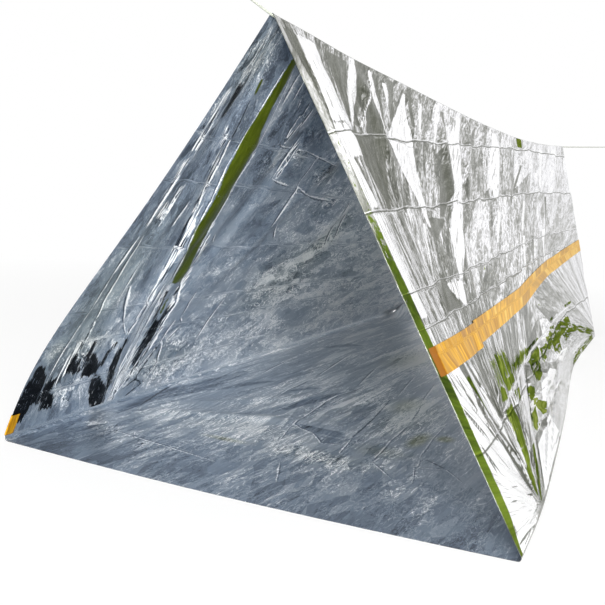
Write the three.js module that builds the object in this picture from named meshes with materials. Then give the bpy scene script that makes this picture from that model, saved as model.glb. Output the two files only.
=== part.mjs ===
// Emergency tube tent on a ridge cord.
//
// Two sheets of aluminised film are joined by two long seam tapes into a tube that is open at both
// ends. The tube hangs over a taut cord, which sags a little under it, and its lower part is spread
// flat on the ground, so every section across the tent is a triangle with soft corners. The front
// border of the right wall is turned in, and pleats run from the cord towards the point where the
// right ground fold is pulled tight.
//
// Millimetres. +X is the right wall, +Y runs from the front mouth to the back one, +Z is up, and the
// origin is on the ground under the middle of the tent.
import * as THREE from 'three';

// Sheet and cord sizes
const TUBE_LENGTH = 2400; // length of the film from mouth to mouth
const FILM = 1.2; // thickness that the film is given
const TAPE = 1.0; // thickness that the tapes are given
const GAP = 0.3; // space between pieces that touch
const CORD_RADIUS = 2;
const CORD_CLEARANCE = 0.6; // between the cord and the film that lies over it
const FOLD_RADIUS = 6; // of the two folds on the ground
const RIDGE_RADIUS = CORD_RADIUS + CORD_CLEARANCE + FILM / 2;

// The mouths: where the film's edges come at the ridge and at the ground folds
const FRONT = { ridge: -1177, fold: -1200 };
const BACK = { ridge: 1221, fold: 1195 };
const FLOOR_EDGE_DIP = 18; // the floor's front edge bows forward between the folds

// The front border of the right wall, turned in towards the inside of the tent
const BORDER = 18; // film that takes part in the turn
const BORDER_FLAT = 12; // of it, the flat band at the edge
const BORDER_TURN = (45 * Math.PI) / 180;
const BORDER_SET_BACK = 32; // how far the turned-in edge stands behind the line of the mouth
const BORDER_STEP = 1; // step used to walk round the turn
const BORDER_FROM_RIDGE = [25, 120]; // the turn sets in between these distances from the cord,
const BORDER_FROM_GROUND = [10, 80]; // and these distances up the slope from the ground fold

// The seams and their tapes, measured up the slope from the ground fold
const RIGHT_SEAM = [
  { y: -1200, up: 338 },
  { y: -220, up: 330 },
  { y: 600, up: 352 },
  { y: 1220, up: 386 },
];
const LEFT_SEAM_UP = 37;
const TAPE_ABOVE = 22;
const TAPE_BELOW = 24;
const PATCH_ABOVE = 18; // the patch over the front end of the right seam sits lower
const PATCH_BELOW = 32;
const PATCH_FROM_EDGE = 3; // where the patch starts on the turned-in border
const PATCH_END = 318; // where it ends, measured on the film from its front edge
const LEFT_TAPE_FLAP = 22; // the left tape is folded round the film's edge by this much

// The cord's route, by hand: taut outside the tent, sagging where the film hangs on it
const CORD_ROUTE = [
  { y: -1330, x: 42, z: 854 },
  { y: -1245, x: 45, z: 840 },
  { y: -1177, x: 47, z: 829 },
  { y: -1100, x: 50, z: 823 },
  { y: -1030, x: 52, z: 818 },
  { y: -863, x: 57, z: 805 },
  { y: -591, x: 67, z: 790 },
  { y: -229, x: 79, z: 770 },
  { y: 157, x: 92, z: 753 },
  { y: 529, x: 104, z: 745 },
  { y: 910, x: 117, z: 750 },
  { y: 1221, x: 127, z: 765 },
  { y: 1500, x: 137, z: 782 },
  { y: 1900, x: 150, z: 807 },
  { y: 2277, x: 162, z: 831 },
  { y: 2370, x: 165, z: 837 },
];
const CORD_SIDES = 8;
const CORD_STEPS = 78;
const KNOT_RADIUS = 6;
const KNOT_LENGTH = 15;

// The two folds on the ground, as sharp corners of the triangle
const RIGHT_FOLD = [
  { y: -1220, x: 546 },
  { y: -1007, x: 535 },
  { y: -826, x: 519 },
  { y: -258, x: 456 },
  { y: 244, x: 391 },
  { y: 522, x: 362 },
  { y: 988, x: 344 },
  { y: 1220, x: 338 },
];
const LEFT_FOLD = [
  { y: -1220, x: -512 },
  { y: -860, x: -524 },
  { y: 1220, x: -550 },
];

// The left wall bellies outwards, most of all low down and at the front
const BELLY = [
  { y: -1220, out: 29 },
  { y: 0, out: 16 },
  { y: 1220, out: 12 },
];
const BELLY_LOW = 2.6; // the larger, the lower the belly sits

// Pleats that hang from the cord. top and foot are the places along the tent where a pleat leaves
// the cord and where it dies out, reach is the share of the slope that it crosses, half its half
// width and rise its height out of the wall.
const RIGHT_PLEATS = [
  { top: -1090, foot: -1110, reach: 0.42, half: 38, rise: 9 },
  { top: -850, foot: -940, reach: 0.36, half: 42, rise: 8 },
  { top: -580, foot: -840, reach: 0.34, half: 44, rise: -6 },
  { top: -330, foot: -800, reach: 0.6, half: 46, rise: 11 },
  { top: -60, foot: -560, reach: 0.42, half: 48, rise: 8 },
  { top: 230, foot: -260, reach: 0.44, half: 52, rise: 9 },
  { top: 520, foot: 60, reach: 0.4, half: 52, rise: -7 },
  { top: 800, foot: 330, reach: 0.44, half: 54, rise: 9 },
  { top: 1050, foot: 700, reach: 0.36, half: 50, rise: 7 },
];
const LEFT_PLEATS = [
  { top: -1120, foot: -1090, reach: 0.9, half: 36, rise: 6 },
  { top: -1030, foot: -900, reach: 0.95, half: 44, rise: -9 },
  { top: -820, foot: -860, reach: 0.95, half: 46, rise: 7 },
  { top: -560, foot: -760, reach: 0.8, half: 54, rise: -7 },
  { top: -150, foot: -380, reach: 0.7, half: 60, rise: 8 },
  { top: 330, foot: 200, reach: 0.75, half: 60, rise: -7 },
  { top: 840, foot: 760, reach: 0.8, half: 60, rise: 8 },
];

// Creases that fan out from the point where the right ground fold is pulled tight. y and share
// (of the slope, from the cord) place a crease's upper end, half is its half width there.
const PULL_POINT_Y = -922;
const FAN = [
  { y: -1080, share: 0.7, half: 30, rise: 5 },
  { y: -900, share: 0.68, half: 36, rise: -6 },
  { y: -740, share: 0.7, half: 42, rise: 8 },
  { y: -520, share: 0.77, half: 46, rise: -8 },
  { y: -250, share: 0.83, half: 50, rise: 8 },
  { y: 60, share: 0.88, half: 46, rise: -6 },
];

// Creases across the floor from the point where the left ground fold is pulled tight. x and y place
// a crease's far end.
const FLOOR_PULL = { x: -500, y: -867 };
const FLOOR_CREASES = [
  { x: 40, y: -640, half: 46, rise: 5 },
  { x: -60, y: -330, half: 50, rise: 4 },
];

// Rows of the film, measured on it from its front edge
const BORDER_ROWS = [0, 9, 12.5, 15.5, BORDER];
const FIRST_STEP = 46;
const STEP_GROWTH = 1.0145;

const COLOURS = { film: 0xc4c8cb, tape: 0xe2982c, cord: 0xc9ccc6 };

// ---- small tools ----

const lerp = (a, b, t) => a + (b - a) * t;
const smooth = THREE.MathUtils.smoothstep;

/** Value of one column of a table at y, on straight lines between the rows. */
function along(table, y, column) {
  const last = table.length - 1;
  const i = Math.min(Math.max(table.findIndex((row) => row.y > y), 1), last);
  const at = table[last].y <= y ? last : i;
  const [a, b] = [table[at - 1], table[at]];
  return lerp(a[column], b[column], THREE.MathUtils.clamp((y - a.y) / (b.y - a.y), 0, 1));
}

/** Value of one column of a table at y, on a smooth curve through the rows. */
function smoothAlong(table, y, column) {
  const last = table.length - 1;
  let i = 0;
  while (i < last - 1 && table[i + 1].y < y) i += 1;
  const slope = (k) => {
    const [a, b] = [table[Math.max(k - 1, 0)], table[Math.min(k + 1, last)]];
    return (b[column] - a[column]) / (b.y - a.y);
  };
  const [a, b] = [table[i], table[i + 1]];
  const h = b.y - a.y;
  const t = (y - a.y) / h;
  const [t2, t3] = [t * t, t * t * t];
  return (2 * t3 - 3 * t2 + 1) * a[column] + (t3 - 2 * t2 + t) * h * slope(i)
    + (3 * t2 - 2 * t3) * b[column] + (t3 - t2) * h * slope(i + 1);
}

/** A soft hump of height 1, zero beyond half a width each way. */
function hump(distance, half) {
  const t = Math.min(Math.abs(distance) / half, 1);
  return 0.5 + 0.5 * Math.cos(Math.PI * t);
}

// ---- the section across the tent ----

/** One soft corner: the arc's centre and how far along each side it starts. */
function cornerArc(corner, towardsApex, inward) {
  const angle = Math.atan2(towardsApex.y, towardsApex.x * inward);
  const start = FOLD_RADIUS / Math.tan(angle / 2);
  const centre = new THREE.Vector2(corner.x + inward * start, corner.y + FOLD_RADIUS);
  return { start, centre };
}

/** The line from a ground corner that touches the ridge circle, and the way out of the wall. */
function wallLine(corner, cord, side) {
  const toCord = cord.clone().sub(corner);
  const length = Math.sqrt(toCord.lengthSq() - RIDGE_RADIUS ** 2);
  const lean = Math.atan2(toCord.y, toCord.x) - side * Math.atan2(RIDGE_RADIUS, length);
  const direction = new THREE.Vector2(Math.cos(lean), Math.sin(lean));
  const outward = new THREE.Vector2(side * direction.y, -side * direction.x);
  return { corner, direction, outward, length };
}

/** The whole triangle at one place along the tent. */
function section(y) {
  const cord = new THREE.Vector2(smoothAlong(CORD_ROUTE, y, 'x'), smoothAlong(CORD_ROUTE, y, 'z'));
  const ground = FILM / 2;
  const rightCorner = new THREE.Vector2(smoothAlong(RIGHT_FOLD, y, 'x'), ground);
  const leftCorner = new THREE.Vector2(smoothAlong(LEFT_FOLD, y, 'x'), ground);
  const right = wallLine(rightCorner, cord, 1);
  const left = wallLine(leftCorner, cord, -1);
  right.arc = cornerArc(rightCorner, right.direction, -1);
  left.arc = cornerArc(leftCorner, left.direction, 1);
  return { y, cord, right, left, seam: along(RIGHT_SEAM, y, 'up') };
}

/** A place on a wall, a height up its slope from the sharp ground corner. */
function onWall(cut, side, up) {
  const wall = cut[side];
  const at = wall.corner.clone().addScaledVector(wall.direction, up);
  return { side, at, outward: wall.outward, up, share: 1 - up / wall.length, length: wall.length };
}

/** A place on the floor, a share of the way from the right fold to the left one. */
function onFloor(cut, share) {
  const from = cut.right.corner.x - cut.right.arc.start;
  const to = cut.left.corner.x + cut.left.arc.start;
  const at = new THREE.Vector2(lerp(from, to, share), FILM / 2);
  return { side: 'floor', at, outward: new THREE.Vector2(0, -1), share };
}

/** A place on a circle between two directions out of it. */
function onArc(side, centre, radius, from, to, share) {
  const angle = lerp(from, to, share);
  const outward = new THREE.Vector2(Math.cos(angle), Math.sin(angle));
  return { side, at: centre.clone().addScaledVector(outward, radius), outward, share };
}

const heading = (vector) => Math.atan2(vector.y, vector.x);
const DOWN = -Math.PI / 2;
const FULL_TURN = 2 * Math.PI;

// A column is a function from a section to a place on it.
const aboveSeam = (share) => (cut) => {
  const from = cut.seam + TAPE_ABOVE;
  return onWall(cut, 'right', lerp(from, cut.right.length, share));
};
const besideSeam = (offset) => (cut) => onWall(cut, 'right', cut.seam + offset);
const belowSeam = (share) => (cut) => {
  return onWall(cut, 'right', lerp(cut.seam - PATCH_BELOW, cut.right.arc.start, share));
};
const ridge = (share) => (cut) => {
  const [from, to] = [heading(cut.right.outward), heading(cut.left.outward)];
  return onArc('ridge', cut.cord, RIDGE_RADIUS, from, to, share);
};
const rightFold = (share) => (cut) => {
  return onArc('rightFold', cut.right.arc.centre, FOLD_RADIUS, heading(cut.right.outward), DOWN, share);
};
const leftFold = (share) => (cut) => {
  const to = heading(cut.left.outward) - FULL_TURN;
  return onArc('leftFold', cut.left.arc.centre, FOLD_RADIUS, DOWN, to, share);
};
const floor = (share) => (cut) => onFloor(cut, share);
const leftWall = (share) => (cut) => {
  return onWall(cut, 'left', lerp(LEFT_SEAM_UP + TAPE_ABOVE, cut.left.length, share));
};
const besideLeftSeam = (offset) => (cut) => onWall(cut, 'left', LEFT_SEAM_UP + offset);
const leftFoot = (share) => (cut) => {
  return onWall(cut, 'left', lerp(cut.left.arc.start, LEFT_SEAM_UP - TAPE_BELOW, share));
};

// ---- pleats and creases ----

/** Height of a table of pleats at a place on a wall. */
function pleats(table, y, share) {
  let height = 0;
  for (const pleat of table) {
    const down = share / pleat.reach;
    if (down >= 1) continue;
    const fade = smooth(down, 0.02, 0.25) * (1 - smooth(down, 0.55, 1));
    height += pleat.rise * fade * hump(y - lerp(pleat.top, pleat.foot, down), pleat.half);
  }
  return height;
}

/** Height of the creases that converge on the pull point, at a height up the right wall. */
function fan(y, place) {
  let height = 0;
  for (const crease of FAN) {
    const reach = (1 - crease.share) * place.length;
    const out = place.up / reach;
    const fade = smooth(out, 0.08, 0.45) * (1 - smooth(out, 0.8, 1.25));
    const middle = lerp(PULL_POINT_Y, crease.y, out);
    height += crease.rise * fade * hump(y - middle, crease.half * Math.max(out, 0.15));
  }
  return height;
}

/** Height of the floor's creases at a point of the ground. */
function floorCreases(x, y) {
  let height = 0;
  for (const crease of FLOOR_CREASES) {
    const [dx, dy] = [crease.x - FLOOR_PULL.x, crease.y - FLOOR_PULL.y];
    const length = Math.hypot(dx, dy);
    const out = ((x - FLOOR_PULL.x) * dx + (y - FLOOR_PULL.y) * dy) / length ** 2;
    const beside = ((x - FLOOR_PULL.x) * dy - (y - FLOOR_PULL.y) * dx) / length;
    const fade = smooth(out, 0.06, 0.3) * (1 - smooth(out, 0.6, 1));
    height += crease.rise * fade * hump(beside, crease.half);
  }
  return height;
}

/** How far the film stands out of the plain triangle at a place. */
function relief(y, place) {
  if (place.side === 'right') return pleats(RIGHT_PLEATS, y, place.share) + fan(y, place);
  if (place.side === 'floor') return -floorCreases(place.at.x, y);
  if (place.side !== 'left') return 0;
  const belly = along(BELLY, y, 'out') * Math.sin(Math.PI * Math.max(place.share, 0) ** BELLY_LOW);
  return belly + pleats(LEFT_PLEATS, y, place.share);
}

// ---- the film as a surface ----

/** How much of the border's turn a place takes, from 0 to 1. */
function turned(place) {
  if (place.side !== 'right') return 0;
  const fromRidge = place.length - place.up;
  return smooth(fromRidge, ...BORDER_FROM_RIDGE) * smooth(place.up, ...BORDER_FROM_GROUND);
}

/** Walk from the inner end of the border towards the film's edge: angle, way forward, way in. */
function borderWalk(rowFromEdge, share) {
  let [forward, inward] = [0, 0];
  const angleAt = (row) => share * BORDER_TURN * (1 - smooth(row, BORDER_FLAT, BORDER));
  const steps = Math.ceil((BORDER - rowFromEdge) / BORDER_STEP);
  const step = steps > 0 ? (BORDER - rowFromEdge) / steps : 0;
  for (let i = 0; i < steps; i += 1) {
    const angle = angleAt(BORDER - (i + 0.5) * step);
    forward += Math.cos(angle) * step;
    inward += Math.sin(angle) * step;
  }
  return { angle: rowFromEdge < BORDER ? angleAt(rowFromEdge) : 0, forward, inward };
}

/** Where the film's front and back edges come at a place of the section. */
function mouths(place) {
  const share = { right: place.share, left: place.share, ridge: 0 }[place.side] ?? 1;
  const dip = place.side === 'floor' ? FLOOR_EDGE_DIP * Math.sin(Math.PI * place.share) : 0;
  return {
    front: lerp(FRONT.ridge, FRONT.fold, share) - dip + BORDER_SET_BACK * turned(place),
    back: lerp(BACK.ridge, BACK.fold, share),
  };
}

/** Point of the film: row is measured from its front edge, off from its middle surface outwards. */
function filmPoint(row, column, off) {
  const nominal = column(section(FRONT.fold));
  const turn = turned(nominal);
  const { front, back } = mouths(nominal);
  const start = front + borderWalk(0, turn).forward;
  const y = lerp(start, back, Math.max(row - BORDER, 0) / (TUBE_LENGTH - BORDER));
  const walk = borderWalk(row, turn);
  const place = column(section(y - walk.forward));
  const out = relief(y, place) - walk.inward + off * Math.cos(walk.angle);
  return new THREE.Vector3(
    place.at.x + place.outward.x * out,
    y - walk.forward - off * Math.sin(walk.angle),
    place.at.y + place.outward.y * out,
  );
}

/** All rows from the front edge to the back one, closer together at the front. */
function filmRows() {
  const rows = [...BORDER_ROWS];
  let step = FIRST_STEP;
  while (rows.at(-1) + 1.5 * step < TUBE_LENGTH) {
    rows.push(rows.at(-1) + step);
    step *= STEP_GROWTH;
  }
  rows.push(TUBE_LENGTH);
  return rows;
}

// ---- solids ----

/** Closed solid between two grids of points, the first of them on the outside. */
function sheetSolid(outer, inner) {
  const [rows, columns] = [outer.length, outer[0].length];
  const positions = [...outer.flat(), ...inner.flat()].flatMap((p) => [p.x, p.y, p.z]);
  const index = [];
  const front = (i, j) => i * columns + j;
  const back = (i, j) => rows * columns + i * columns + j;
  const quad = (a, b, c, d) => index.push(a, b, c, a, c, d);
  for (let i = 0; i < rows - 1; i += 1) {
    for (let j = 0; j < columns - 1; j += 1) {
      quad(front(i, j), front(i + 1, j), front(i + 1, j + 1), front(i, j + 1));
      index.push(back(i, j), back(i + 1, j + 1), back(i + 1, j));
      index.push(back(i, j), back(i, j + 1), back(i + 1, j + 1));
    }
    quad(front(i, 0), back(i, 0), back(i + 1, 0), front(i + 1, 0));
    const j = columns - 1;
    quad(front(i, j), front(i + 1, j), back(i + 1, j), back(i, j));
  }
  for (let j = 0; j < columns - 1; j += 1) {
    quad(front(0, j), front(0, j + 1), back(0, j + 1), back(0, j));
    const i = rows - 1;
    quad(front(i, j), back(i, j), back(i, j + 1), front(i, j + 1));
  }
  const geometry = new THREE.BufferGeometry();
  geometry.setAttribute('position', new THREE.Float32BufferAttribute(positions, 3));
  geometry.setIndex(index);
  geometry.computeVertexNormals();
  return geometry;
}

/** A sheet between two offsets from the film's middle surface. */
function layer(rows, columns, low, high) {
  const grid = (off) => rows.map((row) => columns.map((column) => filmPoint(row, column, off)));
  return sheetSolid(grid(high), grid(low));
}

const shares = (count) => Array.from({ length: count + 1 }, (_, i) => i / count);

function roofGeometry() {
  const columns = [
    besideSeam(GAP / 2),
    ...shares(8).map(aboveSeam),
    ...shares(4).slice(1).map(ridge),
    ...shares(9).slice(0, -1).reverse().map(leftWall),
    besideLeftSeam(GAP / 2),
  ];
  return layer(filmRows(), columns, -FILM / 2, FILM / 2);
}

function floorGeometry() {
  const columns = [
    besideLeftSeam(-GAP / 2),
    ...shares(1).reverse().map(leftFoot),
    ...shares(3).slice(0, -1).reverse().map(leftFold),
    ...[0.88, 0.74, 0.6, 0.46, 0.32, 0.17, 0.05, 0].map(floor),
    ...shares(3).slice(0, -1).reverse().map(rightFold),
    ...shares(5).slice(0, -1).reverse().map(belowSeam),
    besideSeam(-TAPE_BELOW),
    besideSeam(-GAP / 2),
  ];
  return layer(filmRows(), columns, -FILM / 2, FILM / 2);
}

const TAPE_LOW = FILM / 2 + GAP;
const TAPE_HIGH = TAPE_LOW + TAPE;

function rightTapeGeometry() {
  const rows = filmRows().filter((row) => row > PATCH_END + 1);
  const columns = [-TAPE_BELOW, 0, TAPE_ABOVE].map(besideSeam);
  return layer([PATCH_END + GAP, ...rows], columns, TAPE_LOW, TAPE_HIGH);
}

function patchGeometry() {
  const rows = filmRows().filter((row) => row > PATCH_FROM_EDGE && row < PATCH_END);
  const columns = [-PATCH_BELOW, -TAPE_BELOW, 0, PATCH_ABOVE].map(besideSeam);
  return layer([PATCH_FROM_EDGE, ...rows, PATCH_END], columns, TAPE_LOW, TAPE_HIGH);
}

/** The left tape runs along the outside and is folded round the front edge to the inside. */
function leftTapeGeometry() {
  const columns = [TAPE_ABOVE, 0, -TAPE_BELOW].map(besideLeftSeam);
  const spine = (row, forward, off) => columns.map((column) => {
    const point = filmPoint(row, column, off);
    return point.setY(point.y - forward);
  });
  const outside = filmRows();
  const outer = [
    spine(LEFT_TAPE_FLAP, 0, -TAPE_HIGH),
    spine(0, GAP + TAPE, -TAPE_HIGH),
    spine(0, GAP + TAPE, TAPE_HIGH),
    ...outside.slice(1).map((row) => spine(row, 0, TAPE_HIGH)),
  ];
  const inner = [
    spine(LEFT_TAPE_FLAP, 0, -TAPE_LOW),
    spine(0, GAP, -TAPE_LOW),
    spine(0, GAP, TAPE_LOW),
    ...outside.slice(1).map((row) => spine(row, 0, TAPE_LOW)),
  ];
  return sheetSolid(outer, inner);
}

/** The line of the cord, from its front knot to its back one. */
class CordLine extends THREE.Curve {
  getPoint(t, target = new THREE.Vector3()) {
    const y = lerp(CORD_ROUTE[0].y, CORD_ROUTE.at(-1).y, t);
    const [x, z] = ['x', 'z'].map((column) => smoothAlong(CORD_ROUTE, y, column));
    return target.set(x, y, z);
  }
}

function cordGeometry(line) {
  const corners = Array.from({ length: CORD_SIDES }, (_, i) => {
    const angle = (FULL_TURN * i) / CORD_SIDES;
    return new THREE.Vector2(CORD_RADIUS * Math.cos(angle), CORD_RADIUS * Math.sin(angle));
  });
  const options = { steps: CORD_STEPS, extrudePath: line, bevelEnabled: false };
  return new THREE.ExtrudeGeometry(new THREE.Shape(corners), options);
}

/** A stopper knot, as the rounded barrel that its turns fill. */
function knotGeometry() {
  const half = KNOT_LENGTH / 2;
  const profile = [[0, -half], [0.6, -half], [1, -0.5 * half], [1, 0.5 * half], [0.6, half], [0, half]];
  return new THREE.LatheGeometry(profile.map(([r, y]) => new THREE.Vector2(r * KNOT_RADIUS, y)), 12);
}

// ---- the tent ----

const surfaces = {
  film: { color: COLOURS.film, roughness: 0.24, metalness: 0.95 },
  tape: { color: COLOURS.tape, roughness: 0.38, metalness: 0.1 },
  cord: { color: COLOURS.cord, roughness: 0.8, metalness: 0 },
};

function piece(name, geometry, surface) {
  const mesh = new THREE.Mesh(geometry, new THREE.MeshStandardMaterial(surfaces[surface]));
  mesh.name = name;
  return mesh;
}

/** A knot just past one end of the cord, its axis along it. */
function knot(name, line, t, sense) {
  const mesh = piece(name, knotGeometry(), 'cord');
  const way = line.getTangent(t).multiplyScalar(sense);
  mesh.position.copy(line.getPoint(t)).addScaledVector(way, KNOT_LENGTH / 2 + GAP);
  mesh.quaternion.setFromUnitVectors(new THREE.Vector3(0, 1, 0), way);
  return mesh;
}

const tent = new THREE.Group();
const line = new CordLine();
tent.add(
  piece('film_roof', roofGeometry(), 'film'),
  piece('film_floor', floorGeometry(), 'film'),
  piece('tape_right', rightTapeGeometry(), 'tape'),
  piece('tape_patch', patchGeometry(), 'tape'),
  piece('tape_left', leftTapeGeometry(), 'tape'),
  piece('ridge_cord', cordGeometry(line), 'cord'),
  knot('front_knot', line, 0, -1),
  knot('back_knot', line, 1, 1),
);

export default tent;
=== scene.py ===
# %% [markdown]
# # An emergency tube tent on a ridge cord
#
# The tent is a tube of aluminised plastic film, thinner than a hair, that is thrown over a cord and
# spread on the ground. Two sheets, each 1.5 m by 2.4 m, are joined by two long orange tapes. Film as
# thin as this keeps every crease it ever had: the packing folds as straight lines, the pull of the
# cord as long pleats, and the rest as fine crumple. So the lesson is about one surface, worked out as
# a function of two lengths, and about the marks that lie on it.

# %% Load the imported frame
import bpy
import numpy as np
from mathutils import Matrix, Vector


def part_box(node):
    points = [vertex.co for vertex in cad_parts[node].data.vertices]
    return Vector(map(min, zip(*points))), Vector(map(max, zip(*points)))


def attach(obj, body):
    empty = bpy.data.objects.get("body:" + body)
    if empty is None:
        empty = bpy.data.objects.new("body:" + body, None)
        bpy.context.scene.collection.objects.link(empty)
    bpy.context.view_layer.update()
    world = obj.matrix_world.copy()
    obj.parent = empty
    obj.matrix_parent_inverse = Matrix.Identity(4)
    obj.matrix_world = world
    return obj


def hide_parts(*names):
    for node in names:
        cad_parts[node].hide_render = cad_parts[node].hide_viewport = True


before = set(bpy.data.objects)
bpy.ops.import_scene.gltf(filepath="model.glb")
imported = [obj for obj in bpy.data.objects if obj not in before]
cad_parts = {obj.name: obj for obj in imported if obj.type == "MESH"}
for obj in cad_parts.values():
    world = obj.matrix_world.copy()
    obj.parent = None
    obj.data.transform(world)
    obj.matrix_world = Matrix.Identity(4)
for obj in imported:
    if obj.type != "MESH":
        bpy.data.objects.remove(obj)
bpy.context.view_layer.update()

MM = 0.001

# %% [markdown]
# ## Camera
#
# The view looks into the front mouth from the right, a little from above, with a slight roll, as a
# hand-held camera has. Its place is given in the tent's own frame, so the camera can be made before
# anything else is.

# %% The camera
CAMERA_PLACE = (0.7625, -2.4969, 0.5546)
CAMERA_YAW, CAMERA_PITCH, CAMERA_ROLL = np.radians([25.31, 7.91, 3.36])
CAMERA_LENS = 51.8
CAMERA_SHIFT = (-0.0035, 0.0039)


def camera_axes(yaw, pitch, roll):
    """Right, up and backward directions of a camera turned by yaw, tipped down and then rolled."""
    forward = np.array([-np.sin(yaw) * np.cos(pitch), np.cos(yaw) * np.cos(pitch), -np.sin(pitch)])
    level = np.array([np.cos(yaw), np.sin(yaw), 0.0])
    upright = np.cross(level, forward)
    right = np.cos(roll) * level + np.sin(roll) * upright
    up = np.cos(roll) * upright - np.sin(roll) * level
    return right, up, -forward


def make_camera():
    """The camera, with its axes as the columns of its matrix."""
    data = bpy.data.cameras.new("camera")
    data.lens = CAMERA_LENS
    data.sensor_width = 36.0
    data.shift_x, data.shift_y = CAMERA_SHIFT
    camera = bpy.data.objects.new("camera", data)
    bpy.context.collection.objects.link(camera)
    matrix = np.eye(4)
    matrix[:3, :3] = np.column_stack(camera_axes(CAMERA_YAW, CAMERA_PITCH, CAMERA_ROLL))
    matrix[:3, 3] = CAMERA_PLACE
    camera.matrix_world = Matrix(matrix.tolist())
    bpy.context.scene.camera = camera
    return camera


camera = make_camera()
print("camera at", [round(v, 3) for v in camera.matrix_world.translation])

# %% [markdown]
# ## Small tools
#
# A few helpers serve every piece: a table with named columns, a soft step, a hump, a curve through a
# table's rows, and one function that puts a grid of points into a mesh. The soft step and the hump
# have no kink where they begin and end, so film that follows them shows no false crease.

# %% Tables and soft steps
def columns(names, rows, scale=1.0):
    """A short table as a dictionary of arrays, one for each named column."""
    values = np.array(rows, float) * scale
    return {name: values[:, i] for i, name in enumerate(names.split())}


def chains(names, *runs):
    """A table from runs: each is a start and then ends, and each step from one to the next is a row."""
    rows = [(*before[:len(run[0])], *after) for run in runs for before, after in zip(run, run[1:])]
    return columns(names, rows)


def soft_step(x, low, high):
    """0 below low, 1 above high, and 3t^2 - 2t^3 between."""
    t = np.clip((x - low) / (high - low), 0, 1)
    return t * t * (3 - 2 * t)


def hump(distance, half):
    """A soft hump of height 1, zero beyond half each way: half of 1 + cos(pi t)."""
    t = np.clip(np.abs(distance) / half, 0, 1)
    return 0.5 + 0.5 * np.cos(np.pi * t)


def lerp(a, b, t):
    """a where t is 0 and b where it is 1, in a straight line between."""
    return a + (b - a) * t


def rows_of(table):
    """The rows of a table, each as a dictionary."""
    names = list(table)
    return [dict(zip(names, values)) for values in zip(*table.values())]


print("a soft step a quarter of the way:", soft_step(0.25, 0, 1))


# %% A curve through a table
def smooth_along(table, y, column):
    """Cubic curve through a table's rows, sloped at each row as the line between its neighbours."""
    at, value = table["y"], table[column]
    order = np.arange(len(at))
    before, after = np.maximum(order - 1, 0), np.minimum(order + 1, len(at) - 1)
    slope = (value[after] - value[before]) / (at[after] - at[before])
    i = np.clip(np.searchsorted(at, y) - 1, 0, len(at) - 2)
    h = at[i + 1] - at[i]
    t = (y - at[i]) / h
    return ((2 * t**3 - 3 * t**2 + 1) * value[i] + (t**3 - 2 * t**2 + t) * h * slope[i]
            + (3 * t**2 - 2 * t**3) * value[i + 1] + (t**3 - t**2) * h * slope[i + 1])


bow = columns("y z", [(0, 0), (1, 1), (2, 0)])
print("half way to the top of a bow:", smooth_along(bow, 0.5, "z"))


# %% Meshes from grids
def link(obj):
    bpy.context.collection.objects.link(obj)
    return obj


def mesh_object(name, points, faces, marks=None):
    """A smooth mesh from points, faces and marks, which are values kept at every point."""
    mesh = bpy.data.meshes.new(name)
    mesh.from_pydata(points.reshape(-1, 3).tolist(), [], faces.tolist())
    for mark, values in (marks or {}).items():
        vector = values.shape == points.shape
        kind, key = ("FLOAT_VECTOR", "vector") if vector else ("FLOAT", "value")
        layer = mesh.attributes.new(mark, kind, "POINT")
        layer.data.foreach_set(key, values.astype(np.float32).ravel())
    mesh.shade_smooth()
    return link(bpy.data.objects.new(name, mesh))


def grid_faces(rows, cols, round_cols=False, round_rows=False):
    """Quads of a grid whose first direction runs away from the reader and whose second turns left.

    A direction that goes round has one more quad, from its last point back to its first.
    """
    steps = np.arange(rows if round_rows else rows - 1), np.arange(cols if round_cols else cols - 1)
    i, j = np.meshgrid(*steps, indexing="ij")
    beyond, beside = (i + 1) % rows, (j + 1) % cols
    quads = [i * cols + j, beyond * cols + j, beyond * cols + beside, i * cols + beside]
    return np.stack(quads, axis=-1).reshape(-1, 4)


print("a grid of 3 by 4 points has", len(grid_faces(3, 4)), "faces")


# %% [markdown]
# ## The ridge cord
#
# A 4 mm braided cord is tied between two trees. It is straight outside the tent and sags a little
# where the film hangs on it. Since something outside holds it taut, it needs no simulation: its
# points are a given list, and everything else of the tent hangs from the same list. A tube swept
# along them keeps the braid's coordinates, the length along the cord and the angle round it.

# %% The cord
CORD_RADIUS = 2 * MM
CORD_ROUTE = columns("y x z", [
    (-1330, 42, 854), (-1245, 45, 840), (-1177, 47, 829), (-1100, 50, 823), (-1030, 52, 818),
    (-863, 57, 805), (-591, 67, 790), (-229, 79, 770), (157, 92, 753), (529, 104, 745),
    (910, 117, 750), (1221, 127, 765), (1500, 137, 782), (1900, 150, 807), (2277, 162, 831),
    (2370, 165, 837)], MM)
CORD_RINGS, CORD_SIDES = 900, 12
# any direction that neither cord nor knot ever takes; the rings are turned by it
RING_START = (0.3, 0.1, 1.0)


def swept_tube(centres, radius, sides, closed=False):
    """Rings of points round a line: centre + radius (across cos a + over sin a), a going round."""
    step = np.gradient(centres, axis=0)
    if closed:
        step = np.roll(centres, -1, axis=0) - np.roll(centres, 1, axis=0)
    along = step / np.linalg.norm(step, axis=1, keepdims=True)
    across = np.cross(along, RING_START)
    across /= np.linalg.norm(across, axis=1, keepdims=True)
    over = np.cross(across, along)
    angle = np.linspace(0, 2 * np.pi, sides, endpoint=False)
    around = across[:, None] * np.cos(angle)[:, None] + over[:, None] * np.sin(angle)[:, None]
    return centres[:, None] + radius * around, angle


def braid_marks(run, angle):
    """Length along the cord, and cosine and sine of the angle round it, at every point of a tube."""
    return np.stack(np.broadcast_arrays(run[:, None], np.cos(angle), np.sin(angle)), axis=-1)


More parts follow.
